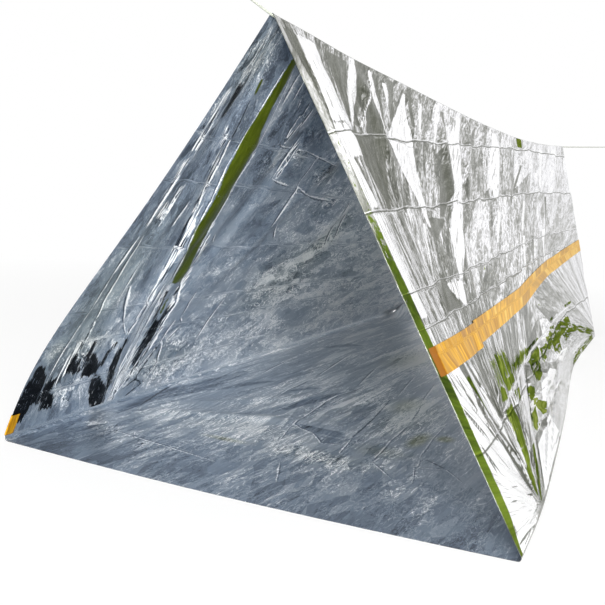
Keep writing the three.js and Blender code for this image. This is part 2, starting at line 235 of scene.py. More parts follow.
def make_cord():
    """A tube through the route's points, with a flat cap at each end."""
    y = np.linspace(CORD_ROUTE["y"][0], CORD_ROUTE["y"][-1], CORD_RINGS)
    centres = np.stack([smooth_along(CORD_ROUTE, y, "x"), y, smooth_along(CORD_ROUTE, y, "z")], axis=1)
    points, angle = swept_tube(centres, CORD_RADIUS, CORD_SIDES)
    run = np.append(0, np.cumsum(np.linalg.norm(np.diff(centres, axis=0), axis=1)))
    faces = grid_faces(CORD_RINGS, CORD_SIDES, round_cols=True)[:, ::-1].tolist()
    last = (CORD_RINGS - 1) * CORD_SIDES
    faces.append(list(range(CORD_SIDES)))
    faces.append(list(range(last + CORD_SIDES - 1, last - 1, -1)))
    marks = {"braid": braid_marks(run, angle)}
    return mesh_object("cord_line", points, np.array(faces, object), marks), centres, run[-1]


cord, cord_line, cord_length = make_cord()
print(f"cord {cord_length:.3f} m long")

# %% [markdown]
# ### The knots at its ends
#
# Each end is kept from fraying by a stopper knot. A trefoil is the simplest knot there is, and a
# formula gives its line, so the same tube is swept along it. It is pulled longer along the cord, as a
# tightened knot is.

# %% The knots
KNOT_SIZE = 1.75 * MM
KNOT_RINGS, KNOT_SIDES = 96, 10
KNOT_THINNER = 0.9
KNOT_LONGER = 2.2


def make_knot(name, centre, way):
    """The trefoil (sin t + 2 sin 2t, cos t - 2 cos 2t, -sin 3t), made longer, its axis on the cord."""
    t = np.linspace(0, 2 * np.pi, KNOT_RINGS, endpoint=False)
    flat_x = np.sin(t) + 2 * np.sin(2 * t)
    flat_y = np.cos(t) - 2 * np.cos(2 * t)
    rise = -KNOT_LONGER * np.sin(3 * t)
    way = way / np.linalg.norm(way)
    side = np.cross(way, [0, 0, 1.0])
    side /= np.linalg.norm(side)
    up = np.cross(side, way)
    line = centre + KNOT_SIZE * (flat_x[:, None] * side + flat_y[:, None] * up + rise[:, None] * way)
    points, angle = swept_tube(line, CORD_RADIUS * KNOT_THINNER, KNOT_SIDES, closed=True)
    faces = grid_faces(KNOT_RINGS, KNOT_SIDES, round_cols=True, round_rows=True)[:, ::-1]
    return mesh_object(name, points, faces, {"braid": braid_marks(t * 3 * KNOT_SIZE, angle)})


knots = []
for name, end, inner in [("front_knot", 0, 1), ("back_knot", -1, -2)]:
    low, high = (np.array(corner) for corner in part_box(name))
    knot = make_knot(f"{name}_turns", (low + high) / 2, cord_line[end] - cord_line[inner])
    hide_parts(name)
    knots.append(knot)
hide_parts("ridge_cord")
print("knots:", [knot.name for knot in knots])

# %% [markdown]
# ## The section across the tent
#
# Every cut across the tent is a triangle: two walls that touch the cord's top and a floor that lies
# on the ground, with small round folds between them. The folds' places along the tent are short
# tables, so a cut at any y can be worked out, and a whole grid of cuts at once.

# %% The section
FILM = 1.2 * MM
FOLD_RADIUS = 6 * MM
CORD_CLEARANCE = 0.6 * MM
RIDGE_RADIUS = CORD_RADIUS + CORD_CLEARANCE + FILM / 2
GROUND = FILM / 2
RIGHT_FOLD = columns("y x", [
    (-1220, 546), (-1007, 535), (-826, 519), (-258, 456), (244, 391), (522, 362), (988, 344),
    (1220, 338)], MM)
LEFT_FOLD = columns("y x", [(-1220, -512), (-860, -524), (1220, -550)], MM)
RIGHT_SEAM = columns("y up", [(-1200, 338), (-220, 330), (600, 352), (1220, 386)], MM)
LEFT_SEAM_UP = 37 * MM
TAPE_ABOVE, TAPE_BELOW = 22 * MM, 24 * MM


def wall_of(y, side):
    """One wall of the cut at y: the line from the ground corner that touches the ridge circle."""
    cord_x, cord_z = smooth_along(CORD_ROUTE, y, "x"), smooth_along(CORD_ROUTE, y, "z")
    corner_x = smooth_along(RIGHT_FOLD if side > 0 else LEFT_FOLD, y, "x")
    dx, dz = cord_x - corner_x, cord_z - GROUND
    length = np.sqrt(dx**2 + dz**2 - RIDGE_RADIUS**2)
    lean = np.arctan2(dz, dx) - side * np.arctan2(RIDGE_RADIUS, length)
    cos, sin = np.cos(lean), np.sin(lean)
    fold_start = FOLD_RADIUS / np.tan(np.arctan2(sin, -side * cos) / 2)
    return {"side": side, "corner_x": corner_x, "length": length, "dir": (cos, sin),
            "out": (side * sin, -side * cos), "fold_start": fold_start, "cord": (cord_x, cord_z)}


def section(y):
    """The cut across the tent at y: both walls, and how far up the right one its seam runs."""
    seam = np.interp(y, RIGHT_SEAM["y"], RIGHT_SEAM["up"])
    return {"y": y, "right": wall_of(y, 1), "left": wall_of(y, -1), "seam": seam}


front_cut = section(RIGHT_FOLD["y"][0])
front_width = front_cut["right"]["corner_x"] - front_cut["left"]["corner_x"]
print(f"front mouth: {front_width:.2f} m wide, cord {front_cut['right']['cord'][1]:.2f} m high")


# %% Places on a cut
def place_on_wall(cut, side, up):
    """Place at a distance up a wall from its ground corner."""
    wall = cut["right" if side > 0 else "left"]
    x = wall["corner_x"] + wall["dir"][0] * up
    z = GROUND + wall["dir"][1] * up
    share = 1 - up / wall["length"]
    return {"kind": "right" if side > 0 else "left", "x": x, "z": z, "out": wall["out"],
            "share": share, "up": up + 0 * x, "length": wall["length"]}


def place_on_arc(kind, centre, radius, from_angle, to_angle, share):
    """Place on a round fold: centre + radius (cos a, sin a), a going from one angle to the other."""
    angle = lerp(from_angle, to_angle, share)
    out = (np.cos(angle), np.sin(angle))
    x, z = centre[0] + radius * out[0], centre[1] + radius * out[1]
    nought = 0 * x
    return {"kind": kind, "x": x, "z": z, "out": out,
            "share": nought, "up": nought, "length": nought + 1}


def place_on_floor(cut, share):
    """Place on the floor at a share of the way from the right ground fold to the left one."""
    start = cut["right"]["corner_x"] - cut["right"]["fold_start"]
    end = cut["left"]["corner_x"] + cut["left"]["fold_start"]
    x = lerp(start, end, share)
    nought = 0 * x
    return {"kind": "floor", "x": x, "z": GROUND + nought, "out": (nought, nought - 1.0),
            "share": share + nought, "up": start - x, "length": start - end}


print("middle of the floor, at the front: x =", round(float(place_on_floor(front_cut, 0.5)["x"]), 3))

# %% [markdown]
# ### Spans
#
# A span is a run of columns round the tube, such as "from the seam to the ridge". It is a function
# from a cut to places on it, so the same span gives a fine grid for the film and a narrow one for a
# tape.

# %% Spans round the tube
DOWN = -np.pi / 2


def heading(out):
    """Angle of a direction across the tent."""
    return np.arctan2(out[1], out[0])


def span_right(low, high, shares):
    """Columns up the right wall between two heights, each a function of the cut."""
    return lambda cut: place_on_wall(cut, 1, lerp(low(cut), high(cut), shares))


def span_left(low, high, shares):
    """The same on the left wall."""
    return lambda cut: place_on_wall(cut, -1, lerp(low(cut), high(cut), shares))


def span_floor(shares):
    return lambda cut: place_on_floor(cut, shares)


def span_ridge(shares):
    def places(cut):
        from_angle, to_angle = heading(cut["right"]["out"]), heading(cut["left"]["out"])
        centre = cut["right"]["cord"]
        return place_on_arc("ridge", centre, RIDGE_RADIUS, from_angle, to_angle, shares)
    return places


def span_right_fold(shares):
    def places(cut):
        wall = cut["right"]
        centre = (wall["corner_x"] - wall["fold_start"], GROUND + FOLD_RADIUS)
        return place_on_arc("fold", centre, FOLD_RADIUS, heading(wall["out"]), DOWN, shares)
    return places


def span_left_fold(shares):
    def places(cut):
        wall = cut["left"]
        centre = (wall["corner_x"] + wall["fold_start"], GROUND + FOLD_RADIUS)
        to_angle = heading(wall["out"]) - 2 * np.pi
        return place_on_arc("fold", centre, FOLD_RADIUS, DOWN, to_angle, shares)
    return places


floor_places = span_floor(np.linspace(0, 1, 5))(front_cut)
print("five columns of the floor, at the front: x =", floor_places["x"].round(3))


# %% [markdown]
# ## Pleats and creases
#
# Film under tension folds along the pull. On the right wall the pull runs from the cord to one point
# of the ground fold, and on the left wall to another, so pleats are rows of a table: where each one
# leaves the cord, where it dies out, how wide and how high it is.

# %% The main pleats
RIGHT_PLEATS = columns("top foot reach half rise", [
    (-1.090, -1.110, 0.42, 0.038, 0.009), (-0.850, -0.940, 0.36, 0.042, 0.008),
    (-0.580, -0.840, 0.34, 0.044, -0.006), (-0.330, -0.800, 0.60, 0.046, 0.011),
    (-0.060, -0.560, 0.42, 0.048, 0.008), (0.230, -0.260, 0.44, 0.052, 0.009),
    (0.520, 0.060, 0.40, 0.052, -0.007), (0.800, 0.330, 0.44, 0.054, 0.009),
    (1.050, 0.700, 0.36, 0.050, 0.007)])
LEFT_PLEATS = columns("top foot reach half rise", [
    (-1.120, -1.090, 0.90, 0.036, 0.006), (-1.030, -0.900, 0.95, 0.044, -0.009),
    (-0.820, -0.860, 0.95, 0.046, 0.007), (-0.560, -0.760, 0.80, 0.054, -0.007),
    (-0.150, -0.380, 0.70, 0.060, 0.008), (0.330, 0.200, 0.75, 0.060, -0.007),
    (0.840, 0.760, 0.80, 0.060, 0.008)])
PULL_Y = -0.922
FAN = columns("y share half rise", [
    (-1.080, 0.70, 0.030, 0.005), (-0.900, 0.68, 0.036, -0.006), (-0.740, 0.70, 0.042, 0.008),
    (-0.520, 0.77, 0.046, -0.008), (-0.250, 0.83, 0.050, 0.008), (0.060, 0.88, 0.046, -0.006)])
FLOOR_PULL = (-0.500, -0.867)
FLOOR_CREASES = columns("x y half rise", [
    (0.040, -0.640, 0.046, 0.005), (-0.060, -0.330, 0.050, 0.004)])
print("pleats:", len(rows_of(RIGHT_PLEATS)), "right,", len(rows_of(LEFT_PLEATS)), "left,",
      len(rows_of(FAN)), "in the fan")


# %% Height of the pleats
def pleats(table, y, share):
    """Sum of humps whose middle slants from top to foot and whose height swells and dies out."""
    height = 0 * y
    for row in rows_of(table):
        down = share / row["reach"]
        fade = soft_step(down, 0.02, 0.25) * (1 - soft_step(down, 0.55, 1))
        height += row["rise"] * fade * hump(y - lerp(row["top"], row["foot"], down), row["half"])
    return height


def fan(y, place):
    """Sum of humps that narrow towards the point where the right ground fold is pulled tight."""
    height = 0 * y
    for row in rows_of(FAN):
        out = place["up"] / ((1 - row["share"]) * place["length"])
        fade = soft_step(out, 0.08, 0.45) * (1 - soft_step(out, 0.8, 1.25))
        middle = lerp(PULL_Y, row["y"], out)
        height += row["rise"] * fade * hump(y - middle, row["half"] * np.maximum(out, 0.15))
    return height


def floor_creases(x, y):
    """Sum of humps that spread over the floor from the point where the left fold is pulled tight."""
    height = 0 * y
    for row in rows_of(FLOOR_CREASES):
        dx, dy = row["x"] - FLOOR_PULL[0], row["y"] - FLOOR_PULL[1]
        length = np.hypot(dx, dy)
        out = ((x - FLOOR_PULL[0]) * dx + (y - FLOOR_PULL[1]) * dy) / length**2
        beside = ((x - FLOOR_PULL[0]) * dy - (y - FLOOR_PULL[1]) * dx) / length
        fade = soft_step(out, 0.06, 0.3) * (1 - soft_step(out, 0.6, 1))
        height += row["rise"] * fade * hump(beside, row["half"])
    return height


first_pleat = float(pleats(RIGHT_PLEATS, np.array(-1.095), np.array(0.12)))
print(f"the first pleat stands {first_pleat / MM:.1f} mm out of the wall")

# %% [markdown]
# ### The grain of the pull
#
# Between the main pleats the film is full of narrow flat facets. They all follow the pull, so each
# place gets two grain lengths: one across the pull and one along it. A zigzag in the first length
# gives long flat facets with straight creases between them, and a sum of zigzags that slant a little
# against each other gives long thin triangles. The tube was packed small, so straight creases also
# run along it, and the facets break there. Behind a slanting line low on the right wall the pull goes
# to the back corner, so the grain turns round that one there.

# %% Lines of pull
# how far the pull on the right wall leans along the tent, over the whole way from ridge to ground
RIGHT_SLANT = columns("y slant", [
    (-1.20, 0.0), (-1.11, 0.1), (-1.05, 0.6), (-0.98, 1.0), (-0.85, 1.3), (-0.60, 1.5),
    (-0.20, 1.3), (0.60, 1.2), (1.00, 0.8), (1.20, 0.5)])
SLANT_DOWN_TO = 0.66
# where the lines of pull leave the ridge and where they reach the ground, on the left wall
LEFT_LINES = columns("top foot", [
    (-1.40, -1.38), (-1.20, -1.19), (-1.16, -1.120), (-1.14, -0.990), (-1.12, -0.885), (-1.08, -0.862),
    (-0.90, -0.848), (-0.78, -0.830), (-0.70, -0.720), (-0.60, -0.570), (-0.30, -0.050), (1.30, 1.600)])
LEFT_STEPS = np.maximum(np.diff(LEFT_LINES["top"]), np.diff(LEFT_LINES["foot"]))
LEFT_NUMBERS = LEFT_LINES["top"][0] + np.append(0, np.cumsum(LEFT_STEPS))
LEFT_DOWN_TO = 0.97
# points of pull: place along the tent and share of the way down, and how wide and long their grain is
RIGHT_PULL = (-0.955, 0.985)
FAN_WIDTH, FAN_LENGTH = 0.32, 0.25
BACK_PULL = (1.28, 0.985)
BACK_FAN_WIDTH, BACK_FAN_LENGTH, BACK_FAN_FROM = 0.40, 5.0, 3.0
# the film belongs to the back point behind this line
BACK_FROM = {"share": [0.60, 0.757, 0.772, 0.815, 0.852, 0.880, 0.930, 1.000],
             "y": [0.00, -0.12, -0.530, -0.585, -0.648, -0.694, -0.800, -0.950]}
PACKING_UP = {"right": [0.170, 0.390, 0.450, 0.600, 0.750],
              "left": [0.100, 0.230, 0.320, 0.490, 0.660, 0.760]}
PACKING_WAVES = [(0.310, 0.0030, 0.0), (0.130, 0.0016, 0.3)]
print("packing creases:", {side: len(heights) for side, heights in PACKING_UP.items()})


# %% Packing creases and plates
def zigzag(x):
    """Triangle wave between -1 and 1 with a period of 1."""
    return 4 * np.abs(x - np.floor(x + 0.5)) - 1


# width across the pull, height, cycles per metre along the pull, phase, jump from band to band
PLATES = columns("width rise tilt phase jump", [
    (0.172, 0.0018, 1.10, 0.13, 0.37), (0.097, 0.0013, -1.90, 0.55, 0.61),
    (0.061, 0.0009, 3.10, 0.21, 0.29), (0.034, 0.0005, -4.70, 0.83, 0.53)])


def packing_turn(y, place):
    """A number that grows up a wall and is whole on each packing crease, which waves a little."""
    creases = PACKING_UP.get(place["kind"])
    if creases is None:
        return 0.5 + 0 * (y + place["x"])
    up = place["up"] + sum(rise * zigzag(y / period + phase) for period, rise, phase in PACKING_WAVES)
    heights = [creases[0] - 0.1, *creases, creases[-1] + 0.1]
    whole = [0.5, *range(1, len(creases) + 1), len(creases) + 0.5]
    return np.interp(up, heights, whole)


def plates(across, along, band):
    """Sum of zigzags across the pull that slant a little along it and jump at each packing crease."""
    height = 0 * across
    for row in rows_of(PLATES):
        turn = across / row["width"] + along * row["tilt"] + row["phase"] + band * row["jump"]
        height += row["rise"] * zigzag(turn)
    return height


print(f"plates rise {sum(PLATES['rise']) / MM:.1f} mm at most")

# %% Grain lengths
HALVINGS = 20


def line_through(lines, y, share):
    """Top end of the straight line from ridge to ground through a place, found by halving."""
    low = np.full(np.broadcast(y, share).shape, lines["top"][0])
    high = np.full(low.shape, lines["top"][-1])
    for _ in range(HALVINGS):
        middle = (low + high) / 2
        before = lerp(middle, np.interp(middle, lines["top"], lines["foot"]), share) < y
        low, high = np.where(before, middle, low), np.where(before, high, middle)
    return (low + high) / 2


# real creases are 1 mm to 3 mm apart all along; they are drawn up to four times coarser towards the
# back, where finer ones would only blur
COARSER = {"y": [-1.3, -1.0, -0.7, -0.3, 0.3, 1.3], "times": [1.0, 1.0, 1.6, 2.6, 3.6, 4.2]}
FINE_STEP = 0.01
FINE_Y = np.linspace(-1.5, 2.2, 371)
FINE_NUMBERS = np.cumsum(FINE_STEP / np.interp(FINE_Y, COARSER["y"], COARSER["times"]))
FLOOR_GRAIN_LONGER = 2.2


def coarser(y):
    """Length along the tent, counted in creases that grow wider to the back."""
    return np.interp(y, FINE_Y, FINE_NUMBERS)


def grain_of(y, place):
    """Across and along the pull, and the number of the band between two packing creases.

    On the left wall the length across counts the lines of pull at the end where they spread more.
    On the right wall above the seam it is y plus a slant times the share of the way down, and below
    the seam it is the angle round the point where the film is pulled tight, of which there are two.
    """
    share, along = place["share"], place["share"] * place["length"]
    band = np.floor(packing_turn(y, place))
    if place["kind"] == "left":
        top = line_through(LEFT_LINES, y, np.clip(share, 0, LEFT_DOWN_TO))
        return coarser(np.interp(top, LEFT_LINES["top"], LEFT_NUMBERS)), along, band
    if place["kind"] != "right":
        return place["x"] + 0 * y, coarser(y) / FLOOR_GRAIN_LONGER + 0 * place["x"], band
    slant = np.interp(y, RIGHT_SLANT["y"], RIGHT_SLANT["slant"])
    wall = coarser(y + slant * np.minimum(share, SLANT_DOWN_TO))
    aside, above = y - RIGHT_PULL[0], (RIGHT_PULL[1] - share) * place["length"]
    fan_across = FAN_WIDTH * np.arctan2(aside, np.maximum(above, 2 * MM))
    fan_along = FAN_LENGTH * np.log1p(np.hypot(aside, above) / FAN_LENGTH)
    behind, over = BACK_PULL[0] - y, (BACK_PULL[1] - share) * place["length"]
    rear = y > np.interp(share, BACK_FROM["share"], BACK_FROM["y"])
    rear_across = BACK_FAN_FROM + BACK_FAN_WIDTH * np.arctan2(over, behind)
    fan_across = np.where(rear, rear_across, fan_across)
    fan_along = np.where(rear, np.hypot(behind, over) / BACK_FAN_LENGTH, fan_along)
    low = (place["up"] < np.interp(y, RIGHT_SEAM["y"], RIGHT_SEAM["up"])) * 1.0
    return lerp(wall, fan_across, low), lerp(along, fan_along, low), band


print("the metre behind the middle holds", round(float(coarser(1.0) - coarser(0.0)), 2), "m of creases")

# %% [markdown]
# ### Large facets
#
# The largest facets are what the eye knows the tent by: long triangles painted white that hang from
# the ridge, dark ones between them, and a fan of spokes over the pull point, all painted reflections.
# Each is a row: a top and a foot, as shares of the way from ridge to ground, with its two ends along
# the tent at both. The distance to the nearest side, positive inside, gives the facet's painted tone a
# crisp edge between grid points and the facet its real step in the film. A facet with bends is a
# chain of rows, each of which starts at the foot of the one before.

# %% Bright facets
FACET = "top front back foot foot_front foot_back"
# white facets: painted reflection of the bright sky; each also steps out of the film
BRIGHT = chains(FACET,
    [(0.02, -1.115, -1.045), (0.2, -1.135, -1.055)], [(0.205, -1.145, -1.09), (0.27, -1.14, -1.085)],
    [(0.27, -1.155, -1.125), (0.37, -1.165, -1.115)], [(0.385, -1.16, -1.118), (0.58, -1.15, -1.112)],
    [(0, -0.872, -0.848), (0.1, -0.975, -0.925), (0.2, -1.055, -1.05)],
    [(0.05, -0.815, -0.805), (0.19, -1, -0.992)],
    [(0.01, -0.79, -0.775), (0.1, -0.85, -0.818), (0.19, -0.892, -0.887)],
    [(0.03, -0.735, -0.712), (0.13, -0.802, -0.798)], [(0.03, -0.605, -0.595), (0.19, -0.865, -0.7)],
    [(0.195, -0.87, -0.705), (0.3, -0.86, -0.79), (0.4, -0.85, -0.84)],
    [(0.04, -0.52, -0.495), (0.14, -0.625, -0.61)],
    [(0.02, -0.2, -0.17), (0.13, -0.39, -0.29), (0.27, -0.515, -0.42)],
    [(0.27, -0.53, -0.42), (0.4, -0.695, -0.6)], [(0.4, -0.715, -0.6), (0.52, -0.8, -0.775)],
    [(0.39, -0.885, -0.862), (0.49, -0.975, -0.96)], [(0.525, -0.912, -0.79), (0.58, -0.85, -0.835)],
    [(0.02, 0.15, 0.2), (0.13, 0.02, 0.12), (0.29, -0.13, -0.1)],
    [(0.03, 0.76, 0.83), (0.21, 0.65, 0.67)], [(0.02, 1, 1.06), (0.15, 0.96, 0.97)],
    [(0.28, 0.29, 0.34), (0.4, 0.14, 0.16)], [(0.06, -0.42, -0.4), (0.18, -0.56, -0.55)],
    [(0.22, 0.56, 0.6), (0.36, 0.48, 0.49)], [(0.3, -0.1, -0.04), (0.44, -0.29, -0.27)],
    [(0.4, 0.5, 0.56), (0.54, 0.4, 0.41)], [(0.42, 0.12, 0.16), (0.56, -0.06, -0.04)],
    [(0.672, -1.15, -1.075), (0.76, -1.165, -1.07), (0.86, -1.165, -1.03)],
    [(0.86, -1.16, -1.03), (0.975, -1.165, -0.985)],
    [(0.745, -1.002, -0.995), (0.8, -1.004, -0.977), (0.885, -0.985, -0.96), (0.94, -0.966, -0.958)],
    [(0.805, -0.935, -0.908), (0.86, -0.938, -0.912), (0.915, -0.952, -0.946)],
    [(0.92, -0.76, -0.48), (0.985, -0.88, -0.45)], [(0.85, -0.42, -0.2), (0.885, -0.5, -0.06)],
    [(0.862, 0, 0.12), (0.9, 0.15, 0.42)])
print("bright facets:", len(rows_of(BRIGHT)), "rows")

# %% Dark facets
# dark facets: painted dark reflection; each also steps into the film
DARK = columns(FACET, [
    (0.02, -1.17, -1.118, 0.195, -1.162, -1.142), (0.02, -1, -0.905, 0.19, -1.052, -1.048),
    (0, -0.845, -0.8, 0.19, -1.04, -1.01), (0.08, -0.855, -0.84, 0.2, -0.985, -0.905),
    (0.02, -0.765, -0.745, 0.17, -0.865, -0.855), (0.01, -0.69, -0.65, 0.15, -0.8, -0.785),
    (0.02, -0.565, -0.548, 0.13, -0.645, -0.63), (0.205, -1.075, -0.905, 0.37, -1.06, -1.04),
    (0.22, -0.56, -0.5, 0.29, -0.64, -0.54), (0.29, -0.64, -0.54, 0.37, -0.73, -0.705),
    (0.29, -0.915, -0.9, 0.37, -0.97, -0.955), (0.375, -0.82, -0.7, 0.43, -0.85, -0.835),
    (0.5, -0.925, -0.915, 0.582, -0.99, -0.865), (0.12, 0.43, 0.45, 0.25, 0.22, 0.235),
    (0.03, -0.35, -0.325, 0.18, -0.47, -0.455), (0.15, 0.3, 0.33, 0.3, 0.1, 0.115),
    (0.25, 0.7, 0.73, 0.38, 0.6, 0.61), (0.42, 0.3, 0.34, 0.52, 0.18, 0.195),
    (0.795, -1.032, -1.01, 0.88, -1.012, -0.99), (0.88, -1.012, -0.99, 0.968, -0.968, -0.962),
    (0.672, -1.062, -1.045, 0.7, -1.057, -1.04), (0.675, -1.023, -1.013, 0.735, -1.002, -0.99),
    (0.758, -0.983, -0.948, 0.805, -0.98, -0.942), (0.68, -0.992, -0.98, 0.692, -0.99, -0.98),
    (0.86, -0.848, -0.81, 0.885, -0.845, -0.8)])
print("dark facets:", len(rows_of(DARK)))

# %% Facets with a painted reflection of grass
# crisp ones of the front part, and soft ones along the foot of the far part
GREEN = chains(FACET,
    [(0.805, -0.898, -0.83), (0.85, -0.9, -0.848), (0.885, -0.908, -0.87), (0.915, -0.922, -0.897)],
    [(0.912, -0.957, -0.905), (0.968, -0.957, -0.945)],
    [(0.705, -1.062, -1.037), (0.745, -1.055, -1.03), (0.785, -1.042, -1.02)],
    [(0.76, -0.866, -0.858), (0.79, -0.893, -0.826)],
    [(0.7, -0.806, -0.772), (0.75, -0.812, -0.79), (0.783, -0.812, -0.792)],
    [(0.757, -0.79, -0.712), (0.778, -0.795, -0.712)],
    [(0.788, -0.798, -0.752), (0.818, -0.79, -0.775)], [(0.795, -0.748, -0.7), (0.818, -0.752, -0.725)],
    [(0.905, -0.815, -0.79), (0.955, -0.905, -0.885), (0.982, -0.955, -0.935)],
    [(0.745, -0.66, -0.25), (0.755, -0.68, -0.2)], [(0.738, 0.13, 0.21), (0.75, 0.13, 0.21)],
    [(0.745, 0.6, 0.76), (0.755, 0.6, 0.76)], [(0, 0.46, 0.53), (0.04, 0.455, 0.52)])
FLAMES = columns(FACET, [
    (0.705, -0.848, -0.815, 0.76, -0.868, -0.838), (0.705, -0.8, -0.7, 0.757, -0.8, -0.7),
    (0.74, -0.68, -0.45, 0.762, -0.72, -0.43), (0.822, -0.6, -0.5, 0.85, -0.625, -0.54),
    (0.762, -0.5, -0.27, 0.8, -0.49, -0.3), (0.795, -0.49, -0.31, 0.84, -0.47, -0.34),
    (0.775, -0.25, 0.02, 0.815, -0.28, 0.02), (0.762, 0.03, 0.19, 0.802, 0.02, 0.23),
    (0.798, 0.02, 0.23, 0.842, 0.05, 0.25), (0.838, 0.05, 0.25, 0.872, 0.14, 0.24),
    (0.785, 0.21, 0.42, 0.84, 0.25, 0.48), (0.795, 0.39, 0.62, 0.848, 0.37, 0.67),
    (0.843, 0.38, 0.7, 0.882, 0.42, 0.7), (0.845, 0.6, 0.74, 0.884, 0.64, 0.78),
    (0.865, -0.69, -0.6, 0.9, -0.725, -0.64), (0.865, -0.59, -0.51, 0.905, -0.56, -0.45),
    (0.872, 0.74, 0.85, 0.925, 0.88, 1.02), (0.915, 0.88, 1.02, 0.962, 1.06, 1.2),
    (0.965, 0.48, 1.12, 0.995, 0.45, 1.12)])
print("green facets:", len(rows_of(GREEN)), "rows and", len(rows_of(FLAMES)), "soft ones")

# %% Smooth facets and single creases
# spokes and plates that are not crumpled, painted pale as a painted reflection of the sky
SMOOTH = chains(FACET,
    [(0.772, -0.62, -0.535), (0.815, -0.69, -0.58), (0.852, -0.748, -0.645), (0.88, -0.775, -0.69),
     (0.93, -0.825, -0.79)], [(0.71, -1.034, -1.016), (0.785, -1.018, -1.006)],
    [(0.885, -0.12, 0.3), (0.975, 0.05, 0.62)], [(0.93, -0.5, -0.1), (0.985, -0.45, 0.1)])
# pale lines, painted highlights, have a half width above 0 and dark ones, painted shade, below 0
LINE = "y share y2 share2 half"
OUTER_LINES = chains(LINE,
    [(-0.897, 0.803), (-0.87, 0.795, 0.003), (-0.81, 0.79, 0.0035), (-0.7, 0.783, 0.004),
     (-0.61, 0.771, 0.0035), (-0.51, 0.772, 0.003), (-0.4, 0.76, 0.0045), (-0.1, 0.757, 0.004),
     (0.2, 0.757, 0.0035), (0.7, 0.763, 0.0035)], [(-0.92, 0.797), (-0.883, 0.762, 0.002)],
    [(-1.062, 0.74), (-1.042, 0.79, 0.003), (-1.015, 0.838, 0.003), (-0.982, 0.9, 0.0035),
     (-0.967, 0.955, 0.0025)], [(-1.005, 0.85), (-0.99, 0.885, -0.0018), (-0.968, 0.96, -0.0018)],
    [(-0.962, 0.85), (-0.957, 0.91, -0.003)],
    [(-0.815, 0.797), (-0.848, 0.855, -0.0018), (-0.87, 0.905, -0.0018), (-0.892, 0.93, -0.0018)],
    [(-0.51, 0.772), (-0.58, 0.815, -0.0022), (-0.63, 0.843, -0.0022), (-0.69, 0.875, -0.0022)],
    [(-0.919, 0.939), (-0.878, 0.9, 0.003), (-0.837, 0.878, 0.0025)],
    [(-0.837, 0.868), (-0.74, 0.806, 0.003)],
    [(-0.957, 0.975), (-0.891, 0.953, -0.003), (-0.837, 0.928, -0.003), (-0.79, 0.895, -0.002)],
    [(-1.154, 0.742), (-1.102, 0.812, -0.002)],
    [(-1.11, 0.759), (-1.075, 0.795, -0.002), (-1.056, 0.822, -0.005)],
    [(-1.143, 0.817), (-1.121, 0.867, -0.002)], [(-1.1, 0.834), (-1.069, 0.875, -0.0015)],
    [(-1.064, 0.745), (-1.053, 0.785, -0.002)], [(-1.141, 0.69), (-1.136, 0.718, -0.003)],
    [(-1.108, 0.7), (-1.102, 0.725, -0.003)], [(-1.102, 0.73), (-1.088, 0.755, -0.004)],
    [(-1.068, 0.67), (-1.062, 0.72, -0.003)],
    [(-1.176, 0.976), (-1.11, 0.981, -0.002), (-1.028, 0.993, -0.002)],
    [(-0.985, 0.75), (-0.975, 0.8, -0.003)], [(-0.955, 0.75), (-0.95, 0.8, -0.006)],
    [(-1.12, 0.923), (-1.103, 0.927, -0.0015)], [(-1.083, 0.908), (-1.068, 0.912, -0.001)],
    [(-1.015, 0.945), (-0.995, 0.953, -0.002)], [(-1.16, 0.74), (-1.12, 0.8, -0.0012)],
    [(-1.06, 0.7), (-1.058, 0.79, -0.0022)], [(-1.145, 0.82), (-1.135, 0.86, -0.0022)],
    [(-1.15, 0.996), (-0.96, 0.986, -0.0016), (-0.87, 0.989, -0.0016), (-0.4, 0.991, -0.0016)],
    [(-0.978, 0.69), (-0.955, 0.75, -0.0026)])
print("smooth facets:", len(rows_of(SMOOTH)), "rows")
print("single creases:", len(rows_of(OUTER_LINES)), "pieces")

# %% Distances to facets and lines
# what stands for a mark so far away that it does not count
FAR = 0.2
NO_LINE = FAR, FAR, 2 * MM
# a wall's height where a distance need not be exact
ABOUT_WALL = 0.95
# the share of the left wall that has facets outside
LEFT_FACETS_TO = 0.6


def inside_facets(table, y, share, length):
    """Largest, over the rows, of the least distance to a row's four sides, in metres."""
    inside = np.full(np.broadcast(y, share).shape, -FAR)
    for row in rows_of(table):
        tall = (row["foot"] - row["top"]) * length
        down = (share - row["top"]) / (row["foot"] - row["top"])
        sides = [down * tall, (1 - down) * tall]
        for way, top, foot in [(1, "front", "foot_front"), (-1, "back", "foot_back")]:
            lean = (row[foot] - row[top]) / tall
            sides.append(way * (y - lerp(row[top], row[foot], down)) / np.hypot(1, lean))
        inside = np.maximum(inside, np.minimum.reduce(sides))
    return inside


def beside_segment(row, a, b, scale):
    """Share of the way to a segment's nearest point, distance to it, and distance from its line."""
    start_a, start_b, end_a, end_b = list(row.values())[:4]
    along = end_a - start_a, (end_b - start_b) * scale
    there = a - start_a, (b - start_b) * scale
    length = np.hypot(*along)
    reach = np.clip((there[0] * along[0] + there[1] * along[1]) / length**2, 0, 1)
    apart = np.hypot(there[0] - reach * along[0], there[1] - reach * along[1])
    return reach, apart, (there[0] * along[1] - there[1] * along[0]) / length


def nearest_line(table, a, b, scale=1.0):
    """Of the nearest of a table's lines: place across it, distance past its side, and half width."""
    across, beyond, half = (np.full(np.broadcast(a, b).shape, value) for value in NO_LINE)
    for row in rows_of(table):
        reach, apart, side = beside_segment(row, a, b, scale)
        # half as wide at its ends as in its middle
        width = row["half"] * (0.5 + 2 * reach * (1 - reach))
        nearer = apart - np.abs(width) < beyond
        across = np.where(nearer, side, across)
        half = np.where(nearer, width, half)
        beyond = np.where(nearer, apart - np.abs(width), beyond)
    return np.stack([across, beyond, half], axis=-1)


def no_lines(shape):
    """What the nearest line says where there is none."""
    return np.broadcast_to(NO_LINE, shape + (3,))


